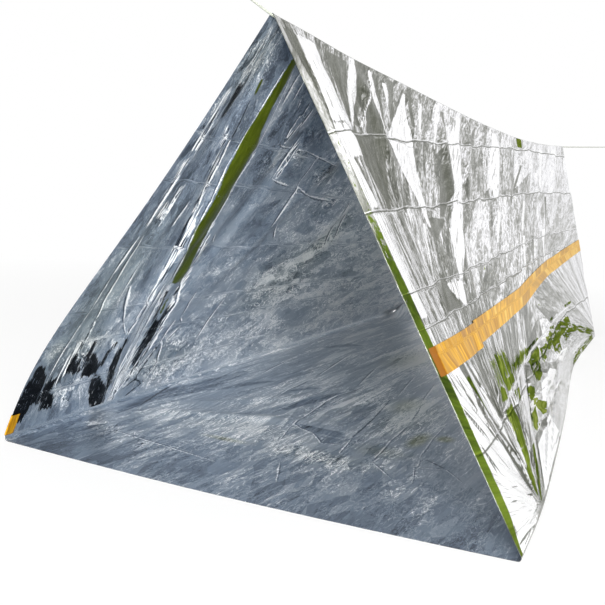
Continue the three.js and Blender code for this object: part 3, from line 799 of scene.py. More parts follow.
def outer_facets(y, place):
    """Bright, dark and green facets. The left wall has the upper ones again, from back to front."""
    if place["kind"] not in ("right", "left"):
        return np.full(y.shape + (3,), -FAR)
    ahead = y if place["kind"] == "right" else -y
    parts = [inside_facets(t, ahead, place["share"], place["length"]) for t in (BRIGHT, DARK, GREEN)]
    if place["kind"] == "left":
        upper = place["share"] + 0 * y < LEFT_FACETS_TO
        parts = [np.where(upper, part, -FAR) for part in parts[:2]] + [np.full(y.shape, -FAR)]
    return np.stack(parts, axis=-1)


nearest = float(nearest_line(OUTER_LINES, np.array(-0.70), 0.70, ABOUT_WALL)[1])
print(f"from a point low on the right wall to the nearest crease: {nearest / MM:.0f} mm")

# %% [markdown]
# ### Marks of the inner side
#
# Inside, the film is painted slate blue with the sky's gradient, a painted reflection of the sky,
# and the creases show as broken bright lines, painted highlights. One long sliver is a painted
# reflection of the grass, and small slivers in the low front corner are painted dark, a painted
# dark reflection. Bands and creases are segments with a half width, on the left wall and on the
# floor. Plain facets are painted a little paler or darker than what is round them, and soft clouds
# make the film more crumpled, more olive or lighter in places; their olive is painted grass.

# %% Slivers of the left wall
# green slivers: painted reflection of grass
SLIVERS = chains(FACET,
    [(0.05, -1.044, -1.021), (0.15, -1.038, -1.013), (0.205, -1.035, -0.998), (0.245, -1.03, -0.967)],
    [(0.245, -1.03, -0.982), (0.3, -1.018, -0.968), (0.36, -0.998, -0.943), (0.45, -0.983, -0.92),
     (0.5, -0.963, -0.905), (0.55, -0.935, -0.89), (0.62, -0.9, -0.852)],
    [(0.67, -0.864, -0.856), (0.725, -0.846, -0.838)], [(0.105, -1.096, -1.088), (0.14, -1.09, -1.08)])
# dark slivers: painted dark reflection
DARK_SLIVERS = columns(FACET, [
    (0.131, -1.147, -1.128, 0.165, -1.143, -1.126), (0.165, -1.143, -1.126, 0.197, -1.13, -1.124),
    (0.828, -1.187, -1.165, 0.87, -1.193, -1.138), (0.87, -1.193, -1.137, 0.925, -1.195, -1.138),
    (0.872, -1.124, -1.102, 0.93, -1.134, -1.108), (0.925, -1.195, -1.15, 0.965, -1.2, -1.165),
    (0.913, -1.107, -1.092, 0.948, -1.117, -1.081), (0.782, -1.042, -1.036, 0.832, -1.037, -1.02),
    (0.82, -1.018, -1.008, 0.85, -1.02, -0.99), (0.845, -1.03, -0.98, 0.885, -1.01, -0.958),
    (0.81, -1.082, -1.074, 0.862, -1.082, -1.052), (0.835, -1.062, -1.048, 0.868, -1.05, -1.03),
    (0.795, -0.954, -0.95, 0.865, -0.966, -0.956), (0.785, -0.932, -0.924, 0.812, -0.922, -0.916),
    (0.812, -0.929, -0.918, 0.88, -0.922, -0.893), (0.88, -0.916, -0.892, 0.935, -0.896, -0.878),
    (0.9, -0.968, -0.945, 0.935, -0.958, -0.9), (0.935, -0.955, -0.892, 1, -0.915, -0.872),
    (0.645, -0.896, -0.89, 0.755, -0.848, -0.84), (0.69, -0.831, -0.826, 0.755, -0.828, -0.817),
    (0.75, -0.846, -0.82, 0.8, -0.842, -0.811), (0.8, -0.842, -0.811, 0.828, -0.838, -0.807),
    (0.828, -0.838, -0.81, 0.885, -0.828, -0.822)])
print("slivers:", len(rows_of(SLIVERS)), "rows of green and", len(rows_of(DARK_SLIVERS)), "dark")

# %% Bands and plain facets of the left wall
# bands of fine creases, broad and with straight sides, painted as white and dark strokes:
# painted highlights and painted dark reflections
WALL_BANDS = chains(LINE,
    [(-1.092, 0.22), (-1.062, 0.29, 0.005), (-1.03, 0.37, 0.009), (-1.006, 0.44, 0.01),
     (-0.985, 0.51, 0.013), (-0.962, 0.6, 0.009)], [(-0.958, 0.6), (-0.94, 0.72, 0.007)],
    [(-0.965, 0.255), (-0.95, 0.345, 0.008)], [(-0.925, 0.44), (-0.895, 0.51, 0.009)],
    [(-0.895, 0.5), (-0.86, 0.56, 0.014)], [(-0.865, 0.56), (-0.838, 0.64, 0.012), (-0.808, 0.75, 0.01),
     (-0.79, 0.83, 0.009), (-0.815, 0.93, 0.009)], [(-0.848, 0.83), (-0.84, 0.9, 0.008)],
    [(-0.845, 0.9), (-0.848, 0.99, 0.012)], [(-1.158, 0.15), (-1.152, 0.27, 0.007)],
    [(-1.152, 0.3), (-1.14, 0.45, 0.006)], [(-1.085, 0.78), (-1.095, 0.88, 0.01)])
# plain facets, painted reflection: a pale one down to the foot, one beside the long sliver, and
# darker ones at the back
PALE_WALL = chains(FACET,
    [(0.53, -0.955, -0.945), (0.6, -0.948, -0.905), (0.7, -0.933, -0.865), (0.8, -0.905, -0.845),
     (0.9, -0.87, -0.845), (0.985, -0.868, -0.842)], [(0.225, -0.88, -0.832), (0.3, -0.866, -0.835)],
    [(0.055, -1.015, -0.96), (0.2, -0.995, -0.96)])
DARKER_WALL = columns(FACET, [
    (0.245, -0.775, -0.73, 0.3, -0.795, -0.71), (0.245, -0.65, -0.56, 0.34, -0.64, -0.48),
    (0.36, -0.6, -0.56, 0.42, -0.5, -0.4), (0.14, -0.96, -0.9, 0.215, -0.95, -0.895),
    (0.235, -0.945, -0.885, 0.3, -0.925, -0.89), (0.32, -0.81, -0.77, 0.44, -0.79, -0.69),
    (0.34, -0.67, -0.61, 0.4, -0.665, -0.64), (0.62, -1.172, -1.142, 0.75, -1.172, -1.137),
    (0.55, -1.04, -0.985, 0.66, -1, -0.962), (0.45, -1.03, -1.012, 0.55, -1.015, -0.99),
    (0.3, -1.13, -1.105, 0.48, -1.13, -1.085), (0.15, -0.82, -0.76, 0.21, -0.8, -0.7)])
print("bands:", len(rows_of(WALL_BANDS)), "pieces")
print("plain facets:", len(rows_of(PALE_WALL)), "rows of pale and", len(rows_of(DARKER_WALL)), "dull")

# %% Single creases of the left wall
# pale pieces are painted highlights with painted shade beside them; dark pieces are painted shade
WALL_LINES = chains(LINE,
    [(-1.14, 0.49), (-1.138, 0.58, 0.0035), (-1.127, 0.67, 0.0022), (-1.13, 0.92, 0.0018)],
    [(-1.12, 0.49), (-1.102, 0.6, 0.0035), (-1.089, 0.685, 0.003), (-1.072, 0.775, 0.0025)],
    [(-1.072, 0.56), (-1.058, 0.655, 0.0016)],
    [(-1.045, 0.623), (-1.006, 0.692, 0.0038), (-0.982, 0.725, 0.0025), (-0.946, 0.765, 0.0015)],
    [(-0.935, 0.73), (-0.933, 0.765, 0.003)], [(-1.085, 0.16), (-1.062, 0.245, -0.0022)],
    [(-1.068, 0.235), (-1.05, 0.29, 0.0028)], [(-1.044, 0.34), (-1.015, 0.4, 0.0022)], [(-1.047, 0.05),
     (-1.036, 0.2, 0.0012), (-1.024, 0.29, 0.0015), (-1.001, 0.37, 0.0016), (-0.985, 0.44, 0.0016),
     (-0.966, 0.5, 0.002)], [(-0.95, 0.52), (-0.918, 0.6, 0.005)],
    [(-1.016, 0.06), (-0.985, 0.18, 0.0016), (-0.956, 0.27, 0.0016)],
    [(-0.956, 0.25), (-0.948, 0.33, 0.003)],
    [(-0.945, 0.355), (-0.93, 0.4, 0.003), (-0.912, 0.46, 0.0035)], [(-0.895, 0.48),
     (-0.86, 0.6, 0.004), (-0.835, 0.64, 0.004), (-0.812, 0.69, 0.0035), (-0.795, 0.8, 0.0026),
     (-0.805, 0.9, 0.0022), (-0.845, 0.985, 0.0022)],
    [(-0.938, 0.62), (-0.915, 0.7, 0.003), (-0.88, 0.8, 0.0022), (-0.862, 0.98, 0.0018)],
    [(-0.92, 0.62), (-0.89, 0.7, 0.0026), (-0.862, 0.8, 0.0022), (-0.85, 0.97, 0.0022)],
    [(-0.905, 0.63), (-0.87, 0.71, 0.003)], [(-0.765, 0.66), (-0.744, 0.735, 0.0016)],
    [(-0.76, 0.762), (-0.757, 0.808, 0.003)], [(-0.736, 0.752), (-0.728, 0.758, 0.003)],
    [(-0.728, 0.818), (-0.713, 0.79, 0.003)], [(-0.752, 0.825), (-0.735, 0.845, 0.003),
     (-0.713, 0.9, 0.003), (-0.728, 0.955, 0.0018), (-0.81, 1, -0.0018)],
    [(-0.75, 0.835), (-0.782, 0.935, -0.0024)], [(-0.756, 0.835), (-0.8, 0.925, 0.002)],
    [(-0.812, 0.958), (-0.782, 0.94, -0.0022), (-0.745, 0.954, -0.0022)],
    [(-0.8, 0.87), (-0.817, 0.925, -0.003)], [(-0.872, 0.476), (-0.857, 0.492, 0.003)],
    [(-0.89, 0.222), (-0.83, 0.227, 0.0018), (-0.77, 0.222, 0.0018), (-0.6, 0.24, 0.0014)],
    [(-0.862, 0.135), (-0.86, 0.165, 0.0036)], [(-0.978, 0.1), (-0.975, 0.135, 0.0026)],
    [(-1.11, 0.365), (-1.1, 0.44, 0.002)], [(-1.119, 0.405), (-1.118, 0.43, 0.004)],
    [(-1.06, 0.395), (-1.057, 0.445, 0.003)], [(-0.7, 0.24), (-0.697, 0.3, 0.0022)],
    [(-0.684, 0.32), (-0.674, 0.43, 0.0034)], [(-0.65, 0.43), (-0.6, 0.48, 0.002)],
    [(-0.595, 0.71), (-0.58, 0.85, 0.003)], [(-0.8, 0.31), (-0.74, 0.317, 0.0024)],
    [(-0.345, 0.35), (-0.27, 0.5, 0.004)], [(-0.3, 0.36), (-0.235, 0.5, 0.003)],
    [(-0.6, 0.339), (-0.48, 0.347, 0.003)], [(-0.822, 0.2), (-0.816, 0.3, 0.0024)],
    [(-0.808, 0.215), (-0.802, 0.3, 0.0016)], [(-0.872, 0.16), (-0.874, 0.21, 0.0016)],
    [(-0.892, 0.175), (-0.884, 0.205, 0.0026)], [(-0.89, 0.222), (-0.884, 0.205, -0.0016)],
    [(-0.985, 0.06), (-0.978, 0.13, 0.0026)], [(-0.892, 0.15), (-0.89, 0.175, 0.0016)],
    [(-0.955, 0.09), (-0.95, 0.115, 0.0026)], [(-0.925, 0.115), (-0.918, 0.13, 0.0016)],
    [(-0.888, 0.12), (-0.884, 0.14, 0.002)], [(-1.084, 0.7), (-1.074, 0.79, -0.0022)],
    [(-1.145, 0.34), (-1.138, 0.45, 0.004)], [(-1.102, 0.36), (-1.095, 0.45, 0.002)],
    [(-1.108, 0.41), (-1.106, 0.435, 0.0026)], [(-0.685, 0.318), (-0.6, 0.339, 0.002)])
print("creases of the left wall:", len(rows_of(WALL_LINES)), "pieces")

# %% Single creases of the floor
# here a piece runs from one place across and along the tent to another; pale pieces are painted
# highlights with painted shade beside them, and dark pieces painted shade
FLOOR_LINES = chains(LINE,
    [(-0.1, -0.3), (-0.114, -0.405, 0.002), (-0.114, -0.484, 0.0028), (-0.103, -0.574, 0.0028),
     (-0.093, -0.668, 0.002), (-0.082, -0.753, 0.0018), (-0.056, -0.85, 0.0014)],
    [(-0.256, -0.28), (-0.25, -0.43, 0.0028), (-0.24, -0.51, 0.002), (-0.24, -0.67, 0.0014)],
    [(0.018, -0.363), (0.049, -0.553, -0.0014), (0.07, -0.747, -0.002), (0.09, -0.86, 0.0014)],
    [(0.107, -0.379), (0.139, -0.574, 0.002), (0.149, -0.71, 0.002), (0.165, -0.853, 0.0018)],
    [(0.213, -0.5), (0.223, -0.637, 0.0014), (0.239, -0.774, 0.002), (0.26, -0.858, 0.0014)],
    [(-0.082, -0.726), (-0.056, -0.747, 0.002), (-0.019, -0.763, 0.002), (0.028, -0.821, 0.002),
     (0.068, -0.808, 0.0014)], [(0.165, -0.874), (0.234, -0.947, 0.0014)],
    [(0.25, -0.847), (0.28, -0.947, 0.0012)], [(0.25, -0.857), (0.305, -0.838, 0.0012)],
    [(0.265, -0.8), (0.307, -0.828, -0.002), (0.36, -0.89, 0.0014)],
    [(-0.516, -0.6), (-0.5, -0.67, -0.0041), (-0.463, -0.8, -0.0028), (-0.46, -0.9, -0.002)],
    [(-0.26, -0.2), (-0.31, 0.15, 0.0028)], [(-0.115, -0.25), (-0.16, 0, 0.0028)],
    [(0.02, -0.3), (-0.02, -0.05, 0.002)], [(0.1, -0.35), (0.06, -0.1, 0.002)],
    [(-0.4, -0.3), (-0.43, -0.05, 0.002)], [(-0.38, -1.01), (-0.1, -1.06, 0.0018)],
    [(0.02, -1), (0.06, -1.09, 0.0014)])
print("creases of the floor:", len(rows_of(FLOOR_LINES)), "pieces")

# %% Tone of the inner side
TONE_SHARES = [0.0, 0.33, 0.75, 1.0]
# tone of the painted sky reflection at these shares of the way, for places along the tent: down
# the wall, and from right to left
PAINTED_SKY_WALL = columns("y top upper lower foot", [
    (-1.20, 0.31, 0.29, 0.36, 0.34), (-1.12, 0.31, 0.29, 0.38, 0.35), (-1.00, 0.28, 0.39, 0.53, 0.47),
    (-0.85, 0.30, 0.41, 0.50, 0.52), (-0.60, 0.46, 0.52, 0.56, 0.60), (-0.30, 0.60, 0.64, 0.66, 0.70),
    (1.22, 0.75, 0.75, 0.75, 0.75)])
PAINTED_SKY_FLOOR = columns("y top upper lower foot", [
    (-1.20, 0.36, 0.40, 0.40, 0.32), (-1.00, 0.40, 0.48, 0.48, 0.38), (-0.85, 0.46, 0.58, 0.64, 0.54),
    (-0.75, 0.50, 0.60, 0.62, 0.54), (-0.65, 0.53, 0.60, 0.58, 0.52), (-0.45, 0.63, 0.66, 0.63, 0.58),
    (0.10, 0.66, 0.68, 0.66, 0.64), (1.22, 0.72, 0.72, 0.72, 0.72)])


def at_four_shares(table, y, share):
    """Tone between a table's rows along y and its four columns along the share, as straight ramps."""
    low, *later = TONE_SHARES
    _, first, *names = table
    before = np.interp(y, table["y"], table[first])
    tone = 0 * share + before
    for name, high in zip(names, later):
        after = np.interp(y, table["y"], table[name])
        tone = tone + (after - before) * np.clip((share - low) / (high - low), 0, 1)
        low, before = high, after
    return tone


print("tone half way up the left wall, at the front:", at_four_shares(PAINTED_SKY_WALL, -1.2, 0.5).round(3))

# %% Clouds and shaded facets
# soft patches of painted reflection: middle, reach along both ways, and what each adds to tone,
# crumple and olive, the olive being painted grass
CLOUD = "a b reach_a reach_b tone crumple olive"
WALL_CLOUDS = columns(CLOUD, [
    (-0.480, 0.35, 0.10, 0.06, 0.06, 0.9, 0.1), (-0.290, 0.47, 0.12, 0.16, 0.05, 0.9, 0.3),
    (-0.350, 0.64, 0.30, 0.22, 0.02, 0.6, 0.3), (-0.700, 0.90, 0.26, 0.10, 0.04, 0.5, 0.2),
    (-0.865, 0.26, 0.05, 0.08, 0.10, 0.9, 0.1), (-1.030, 0.79, 0.10, 0.07, 0.14, 0.7, 0.2),
    (-1.160, 0.79, 0.04, 0.05, 0.15, 0.6, 0.2), (-1.110, 0.68, 0.13, 0.42, 0.00, 0.0, 0.35),
    (-0.780, 0.24, 0.07, 0.04, 0.06, 0.8, 0.1),
    (-1.140, 0.08, 0.07, 0.12, 0.06, 1.0, 0.3), (-1.150, 0.22, 0.04, 0.12, 0.08, 0.9, 0.0),
    (-1.070, 0.84, 0.05, 0.05, -0.12, 1.2, 0.0), (-0.600, 0.27, 0.10, 0.06, -0.06, 0.6, 0.2),
    (-1.040, 0.92, 0.09, 0.06, 0.06, 0.7, 0.0), (0.400, 0.50, 1.10, 0.60, 0.00, 0.6, 0.2)])
FLOOR_CLOUDS = columns(CLOUD, [
    (-0.200, -0.83, 0.32, 0.12, 0.04, 0.45, 0.1), (-0.380, -0.80, 0.10, 0.12, 0.00, 0.3, 0.0),
    (0.080, -0.91, 0.20, 0.08, 0.04, 0.6, 0.2), (-0.400, -1.01, 0.14, 0.06, 0.08, 0.7, 0.0),
    (-0.280, -1.06, 0.12, 0.05, 0.05, 0.5, 0.0), (0.200, -0.67, 0.03, 0.10, -0.10, 0.4, 1.4),
    (0.248, -0.625, 0.03, 0.04, -0.18, 0.4, 1.4), (0.075, -0.38, 0.06, 0.14, 0.00, 0.3, 0.7),
    (-0.155, -0.92, 0.08, 0.02, -0.05, 0.4, 0.9), (0.160, -0.80, 0.10, 0.07, 0.02, 0.6, 0.4),
    (-0.020, -0.42, 0.12, 0.30, 0.06, 0.6, 0.1), (0.120, -0.50, 0.10, 0.30, 0.05, 0.6, 0.3),
    (-0.120, 0.22, 0.12, 0.30, 0.00, 0.8, 0.6), (0.100, 0.70, 0.60, 0.60, 0.00, 0.6, 0.2)])
# darker facets of the floor: a row's ends lie along the tent and its sides across it
FLOOR_SHADES = chains(FACET,
    [(-0.9, -0.47, -0.458), (-0.74, -0.5, -0.456), (-0.56, -0.508, -0.412)],
    [(-0.56, -0.49, -0.412), (-0.3, -0.465, -0.44)],
    [(-0.56, -0.402, -0.396), (-0.44, -0.385, -0.35), (-0.36, -0.335, -0.32)],
    [(-0.74, -0.232, -0.205), (-0.6, -0.19, -0.15), (-0.45, -0.15, -0.118), (-0.37, -0.125, -0.118)],
    [(-0.44, -0.245, -0.232), (-0.36, -0.215, -0.19)],
    [(-0.82, 0.024, 0.05), (-0.765, -0.015, 0.065), (-0.715, -0.085, 0.035)],
    [(0.2, -0.44, -0.42), (0.33, -0.4, -0.34)])


def clouds(table, a, b):
    """Sums of soft humps: tone, crumple and olive."""
    total = np.zeros(np.broadcast(a, b).shape + (3,))
    for row in rows_of(table):
        hill = hump(np.hypot((a - row["a"]) / row["reach_a"], (b - row["b"]) / row["reach_b"]), 1.0)
        total = total + hill[..., None] * np.array([row["tone"], row["crumple"], row["olive"]])
    return total


print("clouds:", len(rows_of(WALL_CLOUDS)), "on the walls,", len(rows_of(FLOOR_CLOUDS)), "on the floor")

# %% Look of the inner side
PLAIN_CRUMPLE = 0.35
# how much the plain facets change the tone, painted shade on the floor and painted reflection on
# the left wall, and where their soft edge begins and ends
FLOOR_SHADE, PALER, DARKER = -0.26, 0.16, -0.07
FACET_EDGE = -4 * MM, 4 * MM


def painted_reflection_of(y, place):
    """Painted reflection of the inner side: tone, crumple and olive."""
    share = place["share"] + 0 * y
    if place["kind"] == "floor":
        x, y = np.broadcast_arrays(place["x"], y)
        tone, soft = at_four_shares(PAINTED_SKY_FLOOR, y, share), clouds(FLOOR_CLOUDS, x, y)
        facets = [(FLOOR_SHADE, inside_facets(FLOOR_SHADES, x, y, 1.0))]
    else:
        tone, soft = at_four_shares(PAINTED_SKY_WALL, y, share), clouds(WALL_CLOUDS, y, share)
        tables = [(PALER, PALE_WALL), (DARKER, DARKER_WALL)] if place["kind"] == "left" else []
        facets = [(change, inside_facets(table, y, share, place["length"])) for change, table in tables]
    for change, distance in facets:
        tone = tone + change * soft_step(distance, *FACET_EDGE)
    return np.stack([tone, PLAIN_CRUMPLE + 0 * tone, 0 * tone], axis=-1) + soft


def inside_bands(table, a, b, scale):
    """Largest, over the rows, of a row's half width less the distance to its segment."""
    inside = np.full(np.broadcast(a, b).shape, -FAR)
    for row in rows_of(table):
        inside = np.maximum(inside, row["half"] - beside_segment(row, a, b, scale)[1])
    return inside


def inner_marks(y, place):
    """Painted highlights and reflections inside: bright bands, dark slivers and green slivers."""
    if place["kind"] != "left":
        return np.full(y.shape + (3,), -FAR)
    share, length = place["share"], place["length"]
    return np.stack([
        inside_bands(WALL_BANDS, y, share, ABOUT_WALL),
        inside_facets(DARK_SLIVERS, y, share, length),
        inside_facets(SLIVERS, y, share, length)], axis=-1)


# how strong the creases look, where not as strong as on the walls
CONTRAST = {"floor": 0.75}


def crease_lines(y, place):
    """The single creases: of the outer side on the right wall, of the inner side elsewhere."""
    if place["kind"] == "right":
        return nearest_line(OUTER_LINES, y, place["share"], ABOUT_WALL)
    if place["kind"] == "left":
        return nearest_line(WALL_LINES, y, place["share"], ABOUT_WALL)
    if place["kind"] == "floor":
        return nearest_line(FLOOR_LINES, *np.broadcast_arrays(place["x"], y))
    return no_lines(y.shape)


print("inner side: crumple from", PLAIN_CRUMPLE, "up, creases on the floor at", CONTRAST["floor"])

# %% [markdown]
# ## The film as a surface
#
# A point of the film is given by its row, the length from the front edge, and its column round the
# tube. The front border of the right wall is turned in by 45 degrees: the film is followed from the
# wall towards its edge, and its direction turns smoothly on the way.

# %% Mouths and border
TUBE_LENGTH = 2.4
FRONT = {"ridge": -1.177, "fold": -1.200}
BACK = {"ridge": 1.221, "fold": 1.195}
FLOOR_EDGE_DIP = 18 * MM
BORDER, BORDER_FLAT = 18 * MM, 12 * MM
BORDER_TURN = np.radians(45)
BORDER_SET_BACK = 32 * MM
BORDER_FROM_RIDGE = (25 * MM, 120 * MM)
BORDER_FROM_GROUND = (10 * MM, 80 * MM)
BORDER_SAMPLES = 32


def turned(place):
    """How much of the border's turn a place takes, from 0 to 1."""
    if place["kind"] != "right":
        return 0 * place["x"]
    from_ridge = place["length"] - place["up"]
    return soft_step(from_ridge, *BORDER_FROM_RIDGE) * soft_step(place["up"], *BORDER_FROM_GROUND)


def border_walk(row, turn):
    """Angle at a row, and the ways forward and in from the border's inner end, added up on the way."""
    reach = np.maximum(BORDER - row, 0) + 0 * turn
    middle = (np.arange(BORDER_SAMPLES) + 0.5) / BORDER_SAMPLES
    on_the_way = BORDER - reach[..., None] * middle
    angle = (turn * BORDER_TURN)[..., None] * (1 - soft_step(on_the_way, BORDER_FLAT, BORDER))
    forward = reach * np.cos(angle).mean(axis=-1)
    inward = reach * np.sin(angle).mean(axis=-1)
    end_angle = turn * BORDER_TURN * (1 - soft_step(BORDER - reach, BORDER_FLAT, BORDER))
    return end_angle, forward, inward


def mouths(place):
    """Where the film's front and back edges come at a place of the cut."""
    share = {"right": place["share"], "left": place["share"], "ridge": 0.0}.get(place["kind"], 1.0)
    dip = FLOOR_EDGE_DIP * np.sin(np.pi * place["share"]) if place["kind"] == "floor" else 0.0
    front = lerp(FRONT["ridge"], FRONT["fold"], share) - dip + BORDER_SET_BACK * turned(place)
    return front + 0 * place["x"], lerp(BACK["ridge"], BACK["fold"], share) + 0 * place["x"]


_, reach_forward, reach_in = border_walk(np.zeros(1), np.ones(1))
print(f"border: {reach_forward[0] / MM:.1f} mm forward and {reach_in[0] / MM:.1f} mm in")

# %% [markdown]
# ### What stands out of the plain section
#
# Added up are the pleats, the plates between them, the steps of the listed facets, the groove at
# each packing crease and, on the left wall, its belly. The film is calmer where it is held: at the
# pull points, the folds, the front mouth and the seam. The back mouth is nearly closed, so the floor's
# edge curls up there and the left wall hangs in.

# %% Relief
BELLY = columns("y out", [(-1220, 29), (0, 16), (1220, 12)], MM)
BELLY_LOW = 2.6
BACK_CURL, BACK_DROOP = 60 * MM, 22 * MM
BACK_REACH = 160 * MM
FACET_STEP, GROOVE = 2 * MM, 0.7 * MM
BAND_RISE, SLIVER_SINK = 1.2 * MM, 1.5 * MM
LEFT_FINE = 0.6


def calm_where_held(y, place, along):
    """Near 0 where the film is held straight and 1 elsewhere."""
    calm = soft_step(along, 0.004, 0.06) * soft_step(place["up"], 0.01, 0.06)
    calm = calm * soft_step(y, FRONT["fold"] + 0.03, FRONT["fold"] + 0.10)
    if place["kind"] == "right":
        from_seam = np.abs(place["up"] - np.interp(y, RIGHT_SEAM["y"], RIGHT_SEAM["up"]))
        calm = calm * (0.3 + 0.7 * soft_step(from_seam, 0.02, 0.08))
    return calm


def left_form(y, place, at_back):
    """Belly of the left wall, its bands and slivers, and how it hangs in at the back."""
    belly = np.interp(y, BELLY["y"], BELLY["out"])
    belly = belly * np.sin(np.pi * np.clip(place["share"], 0, 1) ** BELLY_LOW)
    marks = inner_marks(y, place)
    rise = BAND_RISE * soft_step(marks[..., 0], -4 * MM, 3 * MM)
    sink = SLIVER_SINK * soft_step(marks[..., 2], -5 * MM, 5 * MM)
    low = soft_step(place["up"], 0, 60 * MM) * (1 - soft_step(place["up"], 0.1, 0.3))
    return belly + rise - sink - BACK_DROOP * at_back * low


def relief(y, place):
    """How far the film stands out of the plain section, in metres."""
    kind = place["kind"]
    at_back = soft_step(y, BACK["fold"] - BACK_REACH, BACK["fold"])
    if kind == "floor":
        from_folds = np.minimum(place["up"], place["length"] - place["up"])
        curl = BACK_CURL * at_back * soft_step(from_folds, 0, 55 * MM)
        return -floor_creases(place["x"], y) - curl
    if kind not in ("right", "left"):
        return 0 * y
    across, along, band = grain_of(y, place)
    turn = packing_turn(y, place)
    from_crease = np.abs(turn - np.round(turn))
    calm = calm_where_held(y, place, along)
    facets = soft_step(outer_facets(y, place), -6 * MM, 6 * MM)
    step = FACET_STEP * (facets[..., 0] - facets[..., 1])
    fine = (plates(across, along, band) * soft_step(from_crease, 0.01, 0.10) + step) * calm
    groove = GROOVE * hump(from_crease, 0.035) * calm
    if kind == "right":
        return pleats(RIGHT_PLEATS, y, place["share"]) + fan(y, place) + fine - groove
    fine = LEFT_FINE * fine + left_form(y, place, at_back)
    return pleats(LEFT_PLEATS, y, place["share"]) + fine - groove


middle_up = span_right(lambda cut: 0.0, lambda cut: cut["right"]["length"], np.array([0.5]))
middle_out = relief(np.array([[-0.5]]), middle_up(section(np.array([[-0.5]]))))
print(f"half way up the right wall at y = -0.5 the film stands out {middle_out.item() / MM:.1f} mm")

# %% [markdown]
# ### Tone of each place
#
# Three more values are kept for the materials: how light the film is painted there, how much green
# reflection of grass is painted on it, and how crumpled it is. The turned-in border faces the ground
# in front, so grass is painted on it as a reflection.

# %% Look of the outer side
# the turned border's painted reflection of grass: its tone and how green it is
BORDER_LOOK = columns("share tone green", [
    (0.00, 0.52, 0.08), (0.20, 0.54, 0.12), (0.33, 0.44, 0.30), (0.45, 0.20, 0.60), (0.58, 0.20, 0.9),
    (0.62, 0.29, 1.0), (0.68, 0.17, 1.0), (0.80, 0.25, 1.0), (0.88, 0.40, 1.0), (1.00, 0.46, 0.9)])
# tone of the outer side's painted reflection, at four shares down the wall
WALL_TONE = columns("y top upper lower foot", [
    (-1.20, 0.45, 0.75, 0.76, 0.80), (-1.00, 0.32, 0.46, 0.43, 0.56), (-0.80, 0.38, 0.55, 0.38, 0.50),
    (-0.40, 0.55, 0.55, 0.40, 0.62), (0.20, 0.64, 0.61, 0.46, 0.66), (0.80, 0.69, 0.67, 0.58, 0.68),
    (1.22, 0.74, 0.72, 0.70, 0.70)])
# places along the tent, and how crumpled the right wall looks there
CRUMPLED = [0.1, 0.7], [1.0, 0.5]
LEFT_CRUMPLE, BORDER_CALM = 0.65, 0.7
# smooth facets are painted this pale tone, and soft facets this much painted green of grass
SMOOTH_TONE, SMOOTH_CALM = 0.68, 0.75
FLAME_GREEN = 0.66
# along the film's cut edge a dark line is painted: painted shade
CUT_TONE = 0.22
print("tone at the back of the right wall:", [float(WALL_TONE[name][-1]) for name in ("top", "foot")])


# %% Tone, green and crumple
def border_of(rows, y, place):
    """1 on the turned border of the right wall and 0 behind it."""
    if place["kind"] != "right":
        return 0 * y + 0 * rows
    return 1 - soft_step(rows + 0 * y, BORDER - 5 * MM, BORDER - 2 * MM)


def look_of(rows, y, place):
    """Painted reflection of the outer side: tone, green and crumple."""
    share = place["share"] + 0 * y
    border = border_of(rows, y, place)
    tone = at_four_shares(WALL_TONE, y, share)
    tone = lerp(tone, np.interp(share, BORDER_LOOK["share"], BORDER_LOOK["tone"]), border)
    green = border * np.interp(share, BORDER_LOOK["share"], BORDER_LOOK["green"])
    crumple = LEFT_CRUMPLE if place["kind"] == "left" else 1.0
    if place["kind"] == "right":
        flames = soft_step(inside_facets(FLAMES, y, share, place["length"]), -16 * MM, 10 * MM)
        green = np.maximum(green, FLAME_GREEN * flames * (1 - border))
        smooth = soft_step(inside_facets(SMOOTH, y, share, place["length"]), -5 * MM, 3 * MM)
        tone = lerp(tone, SMOOTH_TONE, smooth)
        crumple = (1 - SMOOTH_CALM * smooth) * np.interp(y, *CRUMPLED)
    cut = border * (1 - soft_step(rows + 0 * y, 0.5 * MM, 2 * MM))
    tone, green = lerp(tone, CUT_TONE, cut), green * (1 - cut)
    return np.stack([tone, green, crumple * (1 - BORDER_CALM * border)], axis=-1)


def marks_of(rows, y, place):
    """What the materials need to know at each point, three numbers by name."""
    border = border_of(rows, y, place)[..., None]
    turn = packing_turn(y, place)
    contrast = CONTRAST.get(place["kind"], 1.0)
    return {
        "grain": np.stack(grain_of(y, place), axis=-1),
        "facets": lerp(outer_facets(y, place), -20 * MM, border),
        "inner": inner_marks(y, place),
        "look": look_of(rows, y, place),
        "painted_reflection": painted_reflection_of(y, place),
        "packing": np.stack([turn, contrast + 0 * turn, 0 * turn], axis=-1),
        "lines": lerp(crease_lines(y, place), no_lines(y.shape), border)}


# %% The film surface
def film_grid(rows, spans, off=0.0):
    """Points and marks of the film on rows by columns; off moves them outwards from its middle."""
    points, marks = [], []
    rows = np.asarray(rows)[:, None]
    for span in spans:
        nominal = span(section(np.full((1, 1), FRONT["fold"])))
        turn = turned(nominal)
        front, back = mouths(nominal)
        start = front + border_walk(np.zeros((1, 1)), turn)[1]
        y = lerp(start, back, np.maximum(rows - BORDER, 0) / (TUBE_LENGTH - BORDER))
        angle, forward, inward = border_walk(rows, turn + 0 * y)
        y_cut = y - forward
        place = span(section(y_cut))
        out = relief(y_cut, place) - inward + off * np.cos(angle)
        points.append(np.stack([
            place["x"] + place["out"][0] * out,
            y_cut - off * np.sin(angle),
            place["z"] + place["out"][1] * out], axis=-1))
        marks.append(marks_of(rows, y_cut, place))
    marks = {name: np.concatenate([part[name] for part in marks], axis=1) for name in marks[0]}
    return np.concatenate(points, axis=1), marks


edge_points, edge_marks = film_grid([0.0], [span_floor(np.linspace(0, 1, 9))])
print(f"the floor's front edge bows to y = {edge_points[..., 1].min():.3f}; marks:", *edge_marks)

